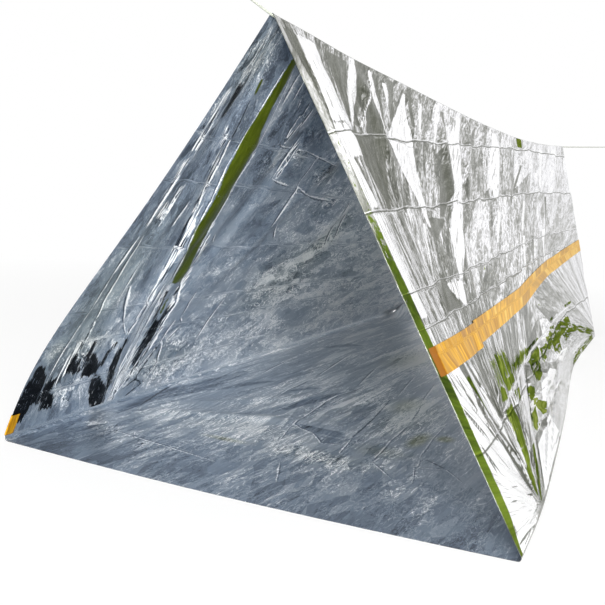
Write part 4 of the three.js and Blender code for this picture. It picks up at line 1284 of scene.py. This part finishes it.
# %% [markdown]
# ## The two sheets of film
#
# The rows lie closer together at the front, where the film is seen from near. The sheet gets its
# thickness from a Solidify modifier, which also gives the inside its own material.

# %% Rows and columns
GAP = 0.02 * MM
ROW_COUNT, BORDER_ROWS = 252, 11
# the last step is 2 x 2.2 - 1 = 3.4 times as long as the first
ROW_STEP_GROWTH = 2.2


def film_rows():
    """Even steps through the turned border, then steps that grow towards the back."""
    t = np.linspace(0, 1, ROW_COUNT)
    beyond = BORDER + (TUBE_LENGTH - BORDER) * (t + (ROW_STEP_GROWTH - 1) * t**2) / ROW_STEP_GROWTH
    return np.concatenate([np.linspace(0, BORDER, BORDER_ROWS + 1)[:-1], beyond])


def end_of(side, name):
    """A height that the cut itself gives: a wall's length, or where its ground fold starts."""
    return lambda cut: cut[side][name]


def beside_seam(offset):
    """A height above the right seam."""
    return lambda cut: cut["seam"] + offset


def at_height(up):
    """A height that is the same in every cut."""
    return lambda cut: up


def shares(count):
    """Even steps from 0 to 1."""
    return np.linspace(0, 1, count + 1)


ROOF_SPANS = [
    span_right(beside_seam(GAP / 2), end_of("right", "length"), shares(80)),
    span_ridge(shares(6)[1:-1]),
    span_left(at_height(LEFT_SEAM_UP + GAP / 2), end_of("left", "length"), shares(88)[::-1]),
]
FLOOR_SPANS = [
    span_left(end_of("left", "fold_start"), at_height(LEFT_SEAM_UP - GAP / 2), shares(9)[::-1]),
    span_left_fold(shares(5)[1:-1]),
    span_floor(shares(104)[::-1]),
    span_right_fold(shares(5)[1:-1][::-1]),
    span_right(end_of("right", "fold_start"), beside_seam(-GAP / 2), shares(60)),
]
all_rows = film_rows()
print(len(all_rows), "rows,", round(1000 * (all_rows[-1] - all_rows[-2])), "mm apart at the back")

# %% Make the sheets
THIN = 0.35 * MM


def even_normals(obj):
    """Normals weighted by face area, so a thin edge does not tip the normals beside it."""
    obj.modifiers.new("normals", "WEIGHTED_NORMAL")


def add_thickness(obj, thickness, inner_material=0):
    """A wall of this thickness round the mesh, whose inside takes another material of the object."""
    thick = obj.modifiers.new("thickness", "SOLIDIFY")
    thick.thickness = thickness
    thick.offset = 0
    thick.material_offset = inner_material
    even_normals(obj)


def make_sheet(name, node, spans):
    """A sheet of film on the columns of its spans, in place of one solid."""
    points, marks = film_grid(all_rows, spans)
    sheet = mesh_object(name, points, grid_faces(*points.shape[:2]), marks)
    add_thickness(sheet, THIN, inner_material=1)
    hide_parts(node)
    return sheet


roof = make_sheet("roof_sheet", "film_roof", ROOF_SPANS)
ground_sheet = make_sheet("ground_sheet", "film_floor", FLOOR_SPANS)
print("faces:", len(roof.data.polygons), len(ground_sheet.data.polygons))

# %% [markdown]
# ## The tapes
#
# Orange film tape closes the two seams. Each tape lies on the film, so it is cut from the same
# surface function, a little further out. The two lengths on the right seam meet at the patch's end.

# %% The tapes of the right seam
TAPE_OFF = 1.4 * MM
TAPE_THIN = 0.4 * MM
PATCH_ABOVE, PATCH_BELOW = 18 * MM, 32 * MM
PATCH_FROM_EDGE, PATCH_END = 3 * MM, 318 * MM
# places along the tent, and how light the tape is there
TAPE_TONE = [-0.90, -0.60, 1.20], [0.55, 0.72, 0.85]


def tape_span(below, above, count=8):
    """Columns of a tape, from so far below the seam to so far above it."""
    return [span_right(beside_seam(-below), beside_seam(above), shares(count))]


def make_tape(name, node, rows, spans):
    """A tape on its rows and spans, in place of one solid."""
    points, marks = film_grid(rows, spans, TAPE_OFF)
    marks["look"][..., 0] = np.interp(points[..., 1], *TAPE_TONE)
    tape = mesh_object(name, points, grid_faces(*points.shape[:2]), marks)
    add_thickness(tape, TAPE_THIN)
    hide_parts(node)
    return tape


long_rows = np.concatenate([[PATCH_END + GAP], all_rows[all_rows > PATCH_END + 1 * MM]])
on_patch = (all_rows > PATCH_FROM_EDGE) & (all_rows < PATCH_END)
patch_rows = np.concatenate([[PATCH_FROM_EDGE], all_rows[on_patch], [PATCH_END]])
tape_right = make_tape("seam_tape", "tape_right", long_rows, tape_span(TAPE_BELOW, TAPE_ABOVE))
tape_patch = make_tape("seam_patch", "tape_patch", patch_rows, tape_span(PATCH_BELOW, PATCH_ABOVE))
widths = [round((below + above) / MM) for below, above in
          [(TAPE_BELOW, TAPE_ABOVE), (PATCH_BELOW, PATCH_ABOVE)]]
print("tape and patch:", widths, "mm wide")

# %% [markdown]
# ### The tape of the left seam
#
# It lies outside, low on the left wall, and its front end is folded over the film's edge. The fold is
# a half round: middle - half width (cos a) + forward (sin a), a going from the inside to the outside.

# %% The tape of the left seam
LEFT_TAPE_FLAP = 22 * MM
FLAP_STEPS, BEND_STEPS = 6, 4


def make_left_tape():
    """The tape's outer run, a turn round the film's front edge, and a short flap inside."""
    ends = at_height(LEFT_SEAM_UP - TAPE_BELOW), at_height(LEFT_SEAM_UP + TAPE_ABOVE)
    spans = [span_left(*ends, shares(6)[::-1])]
    outer, outer_marks = film_grid(all_rows, spans, TAPE_OFF)
    inner, flap_marks = film_grid(LEFT_TAPE_FLAP * shares(FLAP_STEPS)[::-1], spans, -TAPE_OFF)
    bend = np.pi * shares(BEND_STEPS)[1:-1, None, None]
    middle, half = (outer[:1] + inner[-1:]) / 2, (outer[:1] - inner[-1:]) / 2
    forward = np.array([0, -TAPE_OFF, 0])
    turn = middle - half * np.cos(bend) + forward * np.sin(bend)
    points = np.concatenate([inner, turn, outer])
    joined = {}
    for mark, values in outer_marks.items():
        edge = np.repeat(values[:1], len(bend), axis=0)
        joined[mark] = np.concatenate([flap_marks[mark], edge, values])
    joined["look"][..., 0] = TAPE_TONE[1][0]
    tape = mesh_object("left_tape", points, grid_faces(*points.shape[:2]), joined)
    add_thickness(tape, TAPE_THIN)
    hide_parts("tape_left")
    return tape


tape_left = make_left_tape()
print("left tape:", len(tape_left.data.polygons), "faces")

# %% [markdown]
# ## Materials
#
# Colours are written as sRGB hex values and turned into the linear values that the shader needs. One
# function adds a node with its settings and its links, and each material is a short list of nodes.

# %% Colour and nodes
def paint(hex_code):
    """sRGB hex to linear RGBA."""
    srgb = np.array([int(hex_code[i:i + 2], 16) for i in (1, 3, 5)]) / 255
    linear = np.where(srgb <= 0.04045, srgb / 12.92, ((srgb + 0.055) / 1.055) ** 2.4)
    return (*linear.tolist(), 1.0)


def add(tree, kind, *inputs, out=0, stops=None, named=None, **settings):
    """One node: inputs in order, others by name, properties as settings; gives one output, or all."""
    node = tree.nodes.new(f"ShaderNode{kind}")
    for key, value in settings.items():
        setattr(node, key, value)
    if stops:
        ramp = node.color_ramp
        while len(ramp.elements) < len(stops):
            ramp.elements.new(0.5)
        for element, (position, colour) in zip(ramp.elements, stops):
            element.position, element.color = position, paint(colour)
    pairs = list(zip(node.inputs, inputs)) + [(node.inputs[k], v) for k, v in (named or {}).items()]
    for socket, value in pairs:
        if isinstance(value, bpy.types.NodeSocket):
            tree.links.new(value, socket)
        elif value is not None:
            socket.default_value = value
    if out is None or not node.outputs:
        return node.outputs
    return node.outputs[out]


def new_material(name):
    """An empty material and its node tree."""
    material = bpy.data.materials.new(name)
    material.use_nodes = True
    material.node_tree.nodes.clear()
    return material, material.node_tree


def finish_material(tree, shader):
    """The shader's way out of the tree."""
    add(tree, "OutputMaterial", shader)


print("a middle grey in linear values:", round(paint("#808080")[0], 3))

# %% [markdown]
# ### Patterns that follow the pull
#
# Every pattern of the film is drawn in the grain lengths, so it turns with the pleats. A few patterns
# serve both sides: random tones of long facets, short crisp strokes, and marks whose edge the
# strokes make ragged. A tone is a sum of such patterns, and a ramp turns it into a colour at the end.

# %% Patterns along the grain
def weighted(tree, total, *terms):
    """Total plus the sum of weights times values, each a number or a socket."""
    for weight, value in terms:
        total = add(tree, "Math", value, weight, total, operation="MULTIPLY_ADD")
    return total


def kept(tree, name):
    """The three parts of a vector that is kept at the mesh's points."""
    return add(tree, "SeparateXYZ", add(tree, "Attribute", attribute_name=name, out=1), out=None)


def stretched(tree, grain, wide, long, seed=0.0):
    """Coordinates whose unit is so many mm across the pull and along it, new in each band."""
    return add(tree, "CombineXYZ", weighted(tree, 0.0, (1000 / wide, grain[0])),
               weighted(tree, 0.0, (1000 / long, grain[1])), weighted(tree, seed, (7.3, grain[2])))


def cells(tree, grain, wide, long, seed):
    """Tone of each long facet, less its mean: Voronoi cells in stretched coordinates."""
    colour = add(tree, "TexVoronoi", out=1, named={
        "Vector": stretched(tree, grain, wide, long, seed), "Scale": 1.0, "Randomness": 0.95})
    return weighted(tree, -0.5, (1.0, add(tree, "SeparateXYZ", colour)))


def streaks(tree, grain, wide, long, seed=0.0, bend=0.0):
    """Smooth noise around 0 in stretched coordinates, bent by an amount."""
    noise = add(tree, "TexNoise", named={
        "Vector": stretched(tree, grain, wide, long, seed), "Scale": 1.0, "Detail": 3.0,
        "Roughness": 0.6, "Distortion": bend})
    return weighted(tree, -0.5, (1.0, noise))


def sharpened(tree, value, half):
    """A value around 0 pushed to -0.5 and 0.5 outside the half width."""
    return add(tree, "MapRange", value, -half, half, -0.5, 0.5)


# %% [markdown]
# ### Marks and lines
#
# A listed mark is kept as a distance from its edge, and a line as a distance from its middle, so
# both stay sharp between the points of the mesh. Adding a little of the streaks to the distance
# makes them ragged.

# %% Marks and lines
def inside(tree, distance, ragged, amount, soft=0.0010):
    """1 inside a mark and 0 outside, with an edge that the streaks make ragged by an amount in m."""
    return add(tree, "MapRange", weighted(tree, distance, (amount, ragged)), -soft, soft, 0.0, 1.0)


def veins(tree, grain, ragged, wide, long, half):
    """Thin broken lines where long cells meet."""
    straight = stretched(tree, grain, wide, long, seed=9.0)
    aside = weighted(tree, 0.0, (1.2, ragged)), weighted(tree, 0.0, (1.6, ragged))
    where = add(tree, "VectorMath", straight, add(tree, "CombineXYZ", *aside))
    edge = add(tree, "TexVoronoi", feature="DISTANCE_TO_EDGE", named={"Vector": where, "Scale": 1.0})
    line = add(tree, "MapRange", edge, half, 2 * half, 1.0, 0.0)
    return weighted(tree, 0.0, (line, add(tree, "MapRange", ragged, -0.06, 0.06, 0.0, 1.0)))


def squiggles(tree, grain, wide, long, seed, half):
    """Curly hair lines, where smooth noise passes through 0, in patches that a slower noise picks."""
    level = add(tree, "Math", streaks(tree, grain, wide, long, seed, bend=0.8), operation="ABSOLUTE")
    line = add(tree, "MapRange", level, half, 2 * half, 1.0, 0.0)
    slow = streaks(tree, grain, 5 * wide, 4 * long, seed + 3)
    patch = add(tree, "MapRange", slow, -0.03, 0.05, 0.0, 1.0)
    return weighted(tree, 0.0, (line, patch))


def creases(tree, lines, ragged, way, shift=0.0, part=1.0):
    """1 on the single creases whose kept half width has the sign of way.

    Shift moves it to one side by so many half widths, and part makes it narrower.
    """
    contrast = kept(tree, "packing")[1]
    half = weighted(tree, 0.0, (way, lines[2]))
    across = weighted(tree, lines[0], (shift, lines[2]))
    margin = weighted(tree, 0.0, (part, half), (-1.0, add(tree, "Math", across, operation="ABSOLUTE")))
    near = add(tree, "MapRange", lines[1], 0.005, 0.009, 1.0, 0.0)
    line = weighted(tree, 0.0, (near, inside(tree, margin, ragged, amount=0.004, soft=0.0006)))
    return weighted(tree, 0.0, (contrast, line))


def packing_lines(tree, ragged, half, shift=0.0):
    """1 on the packing creases, which lie where the kept number is whole, or a shift above them."""
    turn = weighted(tree, kept(tree, "packing")[0], (0.012, ragged), (-1.0, shift))
    near = add(tree, "Math", turn, 0.5, operation="PINGPONG")
    return add(tree, "MapRange", near, half, half + 0.006, 1.0, 0.0)


# %% [markdown]
# ### Aluminised film, outer side
#
# Polyester film with a vapour-deposited coat of aluminium is a mirror: what one sees is a broken
# picture of what is around it, and here that picture is painted into the colour as painted
# reflections. Each flat facet is painted one tone, and crisp strokes lie between them where the film
# is creased too finely to see. Real creases are 1 mm to 3 mm apart and the strokes are drawn 4 mm to
# 7 mm wide, so that they show from where the tent is seen. A packing crease is a dark line of painted
# shade with a pale painted highlight just above it. The listed facets come last.

# %% The outer side
# ramps of painted reflection: the green one paints mirrored grass, the other mirrored shade to sky
GREEN_STOPS = [(0.0, "#1f2a0d"), (0.3, "#414f18"), (0.7, "#5d6a26"), (1.0, "#828a4a")]
OUTER_STOPS = [(0.0, "#3f4236"), (0.2, "#62645a"), (0.4, "#8d8e88"), (0.6, "#c2c2c2"),
               (0.78, "#eaeaed"), (1.0, "#fcfcfd")]


def film_outer_material():
    """Painted reflection: tone as crumple, then facets and lines over it, and colour from the tone."""
    material, tree = new_material("aluminised_film_outer")
    grain, facets, look, lines = (kept(tree, name) for name in ("grain", "facets", "look", "lines"))
    broad = cells(tree, grain, wide=34, long=260, seed=1.0)
    narrow = cells(tree, grain, wide=11, long=90, seed=4.0)
    fine = streaks(tree, grain, wide=5, long=34, bend=0.6)
    strokes = sharpened(tree, streaks(tree, grain, wide=7, long=22, seed=2.0, bend=1.4), half=0.10)
    # crumple tone: painted reflection, a different tone for each facet
    crumple = weighted(tree, 0.0, (0.45, broad), (0.40, narrow), (1.0, fine), (0.42, strokes))
    tone = weighted(tree, look[0], (look[2], crumple))
    # fine crackle and thin dark streaks, laid into the facets below: painted reflection too
    crackle = sharpened(tree, streaks(tree, grain, wide=5, long=7, seed=8.0, bend=2.0), half=0.14)
    hair = streaks(tree, grain, wide=4, long=60, seed=9.0)
    painted_dark_streaks = add(tree, "MapRange", hair, -0.13, -0.09, -0.5, 0.0)
    # dark facets: painted dark reflection; bright facets below: painted reflection of the sky
    dark = inside(tree, facets[1], fine, amount=0.008)
    tone = add(tree, "Mix", weighted(tree, 0.0, (0.88, dark)), None, tone,
               weighted(tree, 0.18, (0.5, fine), (0.20, crackle)))
    bright = inside(tree, facets[0], fine, amount=0.006)
    tone = add(tree, "Mix", weighted(tree, 0.0, (0.94, bright)), None, tone,
               weighted(tree, 1.02, (0.4, fine), (0.10, crackle), (look[2], painted_dark_streaks)))
    # packing crease: a line of painted shade, and a painted highlight just above it
    line = packing_lines(tree, fine, half=0.006)
    lit = packing_lines(tree, fine, half=0.004, shift=0.018)
    tone = add(tree, "Mix", weighted(tree, 0.0, (0.8, line)), None, tone,
               weighted(tree, 0.12, (0.5, strokes)))
    tone = add(tree, "Mix", weighted(tree, 0.0, (0.45, lit)), None, tone, 0.95)
    # green: painted reflection of grass, on the green facets and the soft flames
    mirrored = weighted(tree, look[1], (1.6, fine), (0.3, strokes))
    flames = add(tree, "MapRange", mirrored, 0.48, 0.53, 0.0, 1.0)
    green = add(tree, "Math", inside(tree, facets[2], fine, amount=0.012), flames, operation="MAXIMUM")
    # single creases: pale ones are painted highlights, dark ones painted shade
    pale_line = creases(tree, lines, fine, way=1.0)
    dark_line = creases(tree, lines, fine, way=-1.0)
    green = weighted(tree, 0.0, (green, weighted(tree, 1.0, (-1.0, pale_line))))
    tone = add(tree, "Mix", pale_line, None, tone, weighted(tree, 0.70, (0.5, fine)))
    tone = add(tree, "Mix", weighted(tree, 0.0, (0.9, dark_line)), None, tone, 0.12)
    colour = add(tree, "Mix", green, out=2, data_type="RGBA", named={
        6: add(tree, "ValToRGB", tone, stops=OUTER_STOPS),
        7: add(tree, "ValToRGB", weighted(tree, tone, (-0.08, flames)), stops=GREEN_STOPS)})
    height = weighted(tree, 0.0, (look[2], crumple))
    bump = add(tree, "Bump", named={"Strength": 0.5, "Distance": 0.0012, "Height": height})
    finish_material(tree, add(tree, "BsdfPrincipled", colour, named={
        "Metallic": weighted(tree, 0.9, (-0.9, green)), "Roughness": 0.27,
        "Specular IOR Level": 0.0, "Normal": bump}))
    return material


film_outer = film_outer_material()
print("outer side:", len(film_outer.node_tree.nodes), "nodes")

# %% [markdown]
# ### Aluminised film, inner side
#
# The same film seen from inside mirrors the sky through the mouth, and that reflection is painted
# into its colour: a smooth slate blue that goes olive where the grass is mirrored. Bands of crisp
# white and dark strokes, painted highlights and painted reflections, lie along the folds, and curly
# hair lines, painted highlights and painted shade, where the film is crumpled.

# %% The inner side
# ramps of painted reflection: sky from dark to white, grass in olive and in the sliver
INNER_STOPS = [(0.0, "#23272e"), (0.2, "#5f6977"), (0.45, "#94a2b2"), (0.7, "#bac3cc"),
               (0.88, "#eef1f3"), (1.0, "#ffffff")]
PAINTED_GRASS_TINT_STOPS = [(0.0, "#2a3022"), (0.45, "#8a9178"), (1.0, "#e6e8dc")]
PAINTED_GRASS_STOPS = [(0.0, "#3f4b0c"), (1.0, "#68761f")]


def film_inner_material():
    """Painted reflection: slate or olive from a tone, and the green and dark slivers over that."""
    material, tree = new_material("aluminised_film_inner")
    grain, inner, painted_reflection, lines = (kept(tree, name) for name in ("grain", "inner", "painted_reflection", "lines"))
    broad = cells(tree, grain, wide=60, long=90, seed=2.0)
    small = cells(tree, grain, wide=20, long=34, seed=6.0)
    fine = streaks(tree, grain, wide=6, long=40, bend=0.5)
    strokes = sharpened(tree, streaks(tree, grain, wide=5, long=90, seed=3.0, bend=0.4), half=0.07)
    crinkle = sharpened(tree, streaks(tree, grain, wide=5, long=9, seed=7.0, bend=1.6), half=0.12)
    hair = streaks(tree, grain, wide=4, long=26, seed=5.0, bend=0.6)
    glints = add(tree, "MapRange", hair, 0.13, 0.17, 0.0, 1.0)
    # curls and hairs: painted highlights of crinkles; shadows: painted shade
    curls = squiggles(tree, grain, wide=16, long=26, seed=21.0, half=0.012)
    hairs = squiggles(tree, grain, wide=8, long=14, seed=33.0, half=0.020)
    shadows = squiggles(tree, grain, wide=12, long=20, seed=41.0, half=0.014)
    crumple = weighted(tree, 0.0, (0.42, small), (0.14, fine), (0.08, crinkle), (0.30, glints),
                       (0.75, curls), (0.45, hairs), (-0.35, shadows))
    tone = weighted(tree, painted_reflection[0], (0.15, broad), (0.06, small), (0.05, fine), (painted_reflection[1], crumple))
    # bands: painted highlights among painted dark reflections
    band = inside(tree, inner[0], fine, amount=0.020, soft=0.003)
    tone = add(tree, "Mix", band, None, tone, weighted(tree, 0.66, (1.3, strokes), (0.8, fine)))
    # packing creases and veins: painted highlights
    net = packing_lines(tree, fine, half=0.005)
    patches = streaks(tree, grain, wide=40, long=30, seed=13.0)
    broken = weighted(tree, 0.0, (net, add(tree, "MapRange", patches, -0.08, 0.08, 0.0, 1.0)))
    thin = veins(tree, grain, fine, wide=60, long=110, half=0.010)
    tone = weighted(tree, tone, (0.06, glints), (0.24, broken), (0.24, thin))
    rough = weighted(tree, 0.0, (1.3, fine), (0.6, crinkle))
    # single creases: painted highlights with painted shade beside them, and lines of painted shade
    pale_line = creases(tree, lines, rough, way=1.0)
    tone = add(tree, "Mix", pale_line, None, tone, weighted(tree, 1.0, (1.0, fine)))
    shaded = creases(tree, lines, rough, way=1.0, shift=1.7, part=0.7)
    tone = add(tree, "Mix", weighted(tree, 0.0, (0.8, shaded)), None, tone, 0.05)
    dark_line = creases(tree, lines, rough, way=-1.0)
    tone = add(tree, "Mix", weighted(tree, 0.0, (0.9, dark_line)), None, tone, 0.0)
    # olive: painted reflection of grass
    olive = add(tree, "Math", painted_reflection[2], 1.0, operation="MINIMUM")
    colour = add(tree, "Mix", olive, out=2, data_type="RGBA", named={
        6: add(tree, "ValToRGB", tone, stops=INNER_STOPS),
        7: add(tree, "ValToRGB", tone, stops=PAINTED_GRASS_TINT_STOPS)})
    # green sliver: painted reflection of grass
    grass = add(tree, "ValToRGB", weighted(tree, 0.45, (1.5, fine)), stops=PAINTED_GRASS_STOPS)
    sliver = inside(tree, inner[2], rough, amount=0.004)
    colour = add(tree, "Mix", sliver, out=2, data_type="RGBA", named={6: colour, 7: grass})
    # dark slivers: painted dark reflection, nearly black
    teeth = weighted(tree, 0.06, (1.0, streaks(tree, grain, wide=6, long=70, seed=11.0, bend=0.3)))
    black = inside(tree, inner[1], teeth, amount=0.036, soft=0.0008)
    black = weighted(tree, 0.0, (black, weighted(tree, 1.0, (-1.0, glints))))
    colour = add(tree, "Mix", black, out=2, data_type="RGBA", named={6: colour, 7: paint("#030408")})
    bump = add(tree, "Bump", named={"Strength": 0.22, "Distance": 0.0012, "Height": crumple})
    finish_material(tree, add(tree, "BsdfPrincipled", colour, named={
        "Metallic": add(tree, "MapRange", tone, 0.6, 1.0, 0.55, 0.15), "Roughness": 0.34,
        "Specular IOR Level": 0.15, "Normal": bump}))
    return material


film_inner = film_inner_material()
print("inner side:", len(film_inner.node_tree.nodes), "nodes")

# %% [markdown]
# ### Orange film tape and braided cord
#
# The tape is a thin glossy polypropylene film, dyed orange and a little clear, and lighter streaks
# follow the pull in it; where the patch turns in with the border it is painted darker, painted shade.
# The cord is a round braid of pale polyester: two sets of strands wind round it in opposite ways,
# sin(strands a + 2 pi run / pitch) and the same with -strands, where a is the angle round the cord
# and run the length along it. The larger one shows, and the gaps between strands are painted darker:
# painted shade.

# %% Tape and cord materials
TAPE_STOPS = [(0.0, "#6c4000"), (0.3, "#956607"), (0.6, "#ad7f0e"), (0.85, "#cf9a0c"),
              (1.0, "#dab450")]
CORD_STOPS = [(0.0, "#7d8275"), (0.6, "#b9bdae"), (1.0, "#d5d8cd")]
STRAND_PITCH = 9 * MM
STRANDS = 4


def tape_material():
    """Orange that is lighter along the streaks of the pull and on broad folds."""
    material, tree = new_material("orange_film_tape")
    grain, look = kept(tree, "grain"), kept(tree, "look")
    fine = streaks(tree, grain, wide=7, long=60)
    folds = cells(tree, grain, wide=22, long=120, seed=3.0)
    # look[1] is the turned border's green: the tape is painted darker there, painted shade
    tone = weighted(tree, look[0], (1.5, fine), (0.35, folds), (-0.9, look[1]))
    bump = add(tree, "Bump", named={"Strength": 0.35, "Distance": 0.001, "Height": fine})
    colour = add(tree, "ValToRGB", tone, stops=TAPE_STOPS)
    finish_material(tree, add(tree, "BsdfPrincipled", colour, named={
        "Roughness": 0.38, "IOR": 1.49, "Specular IOR Level": 0.22, "Normal": bump}))
    return material


def cord_material():
    """The braid: the larger of two sine waves that wind round the cord."""
    material, tree = new_material("braided_polyester")
    run = kept(tree, "braid")
    angle = add(tree, "Math", run[2], run[1], operation="ARCTAN2")
    waves = []
    for way in (STRANDS, -STRANDS):
        turn = weighted(tree, 0.0, (float(way), angle), (2 * np.pi * STRANDS / STRAND_PITCH, run[0]))
        waves.append(add(tree, "Math", turn, operation="SINE"))
    weave = add(tree, "MapRange", add(tree, "Math", *waves, operation="MAXIMUM"), -0.6, 1.0, 0.0, 1.0)
    # the ramp paints the gaps between strands darker: painted shade
    colour = add(tree, "ValToRGB", weave, stops=CORD_STOPS)
    bump = add(tree, "Bump", named={"Strength": 0.6, "Distance": 0.0004, "Height": weave})
    finish_material(tree, add(tree, "BsdfPrincipled", colour, named={
        "Roughness": 0.75, "Normal": bump}))
    return material


tape_orange, cord_braid = tape_material(), cord_material()
for sheet in (roof, ground_sheet):
    sheet.data.materials.append(film_outer)
    sheet.data.materials.append(film_inner)
for tape in (tape_right, tape_patch, tape_left):
    tape.data.materials.append(tape_orange)
for piece in (cord, *knots):
    piece.data.materials.append(cord_braid)
print("materials:", [material.name for material in (film_outer, film_inner, tape_orange, cord_braid)])

# %% Ride on the root body
IN_SLOT = {
    "film": (roof, ground_sheet),
    "tape": (tape_right, tape_patch, tape_left),
    "cord": (cord, *knots)}
for slot_name, pieces in IN_SLOT.items():
    for piece in pieces:
        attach(piece, "root")
print("pieces by slot:", {name: len(pieces) for name, pieces in IN_SLOT.items()})

# %% [markdown]
# ## Floor, world and lamps
#
# A mirror shows what stands round it, so the room is kept plain: a pale floor that fades into white,
# and a white world for what the camera and the film see. There are three large soft lamps: a key from
# the right, a fill from the left, and one low in front that looks into the mouth.

# %% The floor
FLOOR_SIZE = 40.0
FADE_FROM, FADE_TO = 1.5, 3.5
# how much of the floor's own colour gives way to white in the camera's eyes
CAMERA_WHITE = 0.78


def make_floor():
    """A flat square whose far part glows white, so that no edge shows."""
    half = FLOOR_SIZE / 2
    corners = np.array([[-half, -half, 0], [half, -half, 0], [half, half, 0], [-half, half, 0]])
    floor = mesh_object("studio_floor", corners, np.array([[0, 1, 2, 3]]))
    material, tree = new_material("studio_floor")
    place = add(tree, "TexCoord", out=3)
    distance = add(tree, "VectorMath", place, operation="LENGTH", out=1)
    far = add(tree, "MapRange", distance, FADE_FROM, FADE_TO, 0.0, 1.0)
    pale = add(tree, "BsdfPrincipled", paint("#f4f4f3"), named={"Roughness": 0.9})
    glow = add(tree, "Emission", paint("#ffffff"), 1.0)
    seen = add(tree, "LightPath", out=None)["Is Camera Ray"]
    part = add(tree, "Math", seen, CAMERA_WHITE, operation="MULTIPLY")
    near = add(tree, "MixShader", part, pale, glow)
    finish_material(tree, add(tree, "MixShader", far, near, glow))
    floor.data.materials.append(material)
    return floor


studio_floor = make_floor()
print("floor:", studio_floor.name, FLOOR_SIZE, "m square")

# %% The world and the lamps
WORLD_LIGHT = 0.55


def make_world():
    """White for the rays that show it, and less light than that for the rest."""
    world = bpy.data.worlds.new("studio_world")
    world.use_nodes = True
    tree = world.node_tree
    tree.nodes.clear()
    path = add(tree, "LightPath", out=None)
    seen = add(tree, "Math", path["Is Camera Ray"], path["Is Glossy Ray"], operation="MAXIMUM")
    seen = add(tree, "Math", seen, path["Is Transmission Ray"], operation="MAXIMUM")
    lighting = add(tree, "Background", paint("#ffffff"), WORLD_LIGHT)
    backdrop = add(tree, "Background", paint("#ffffff"), 1.0)
    add(tree, "OutputWorld", add(tree, "MixShader", seen, lighting, backdrop))
    bpy.context.scene.world = world


def make_lamp(name, place, aim, size, power):
    """A square lamp that looks at a point."""
    data = bpy.data.lights.new(name, "AREA")
    data.size = size
    data.energy = power
    lamp = link(bpy.data.objects.new(name, data))
    way = np.array(aim, float) - np.array(place, float)
    lamp.location = place
    lamp.rotation_mode = "QUATERNION"
    lamp.rotation_quaternion = Vector(way).to_track_quat("-Z", "Y")


make_world()
make_lamp("key_lamp", (4.5, -3.5, 5.0), aim=(0, 0, 0.3), size=6.0, power=90)
make_lamp("fill_lamp", (-5.0, -4.5, 3.5), aim=(0, -0.3, 0.3), size=6.0, power=60)
make_lamp("mouth_lamp", (2.8, -5.6, 1.3), aim=(-0.2, -0.7, 0.3), size=3.0, power=680)
print("lamps:", [lamp.name for lamp in bpy.data.lights])
bpy.context.scene.view_settings.view_transform = "Standard"
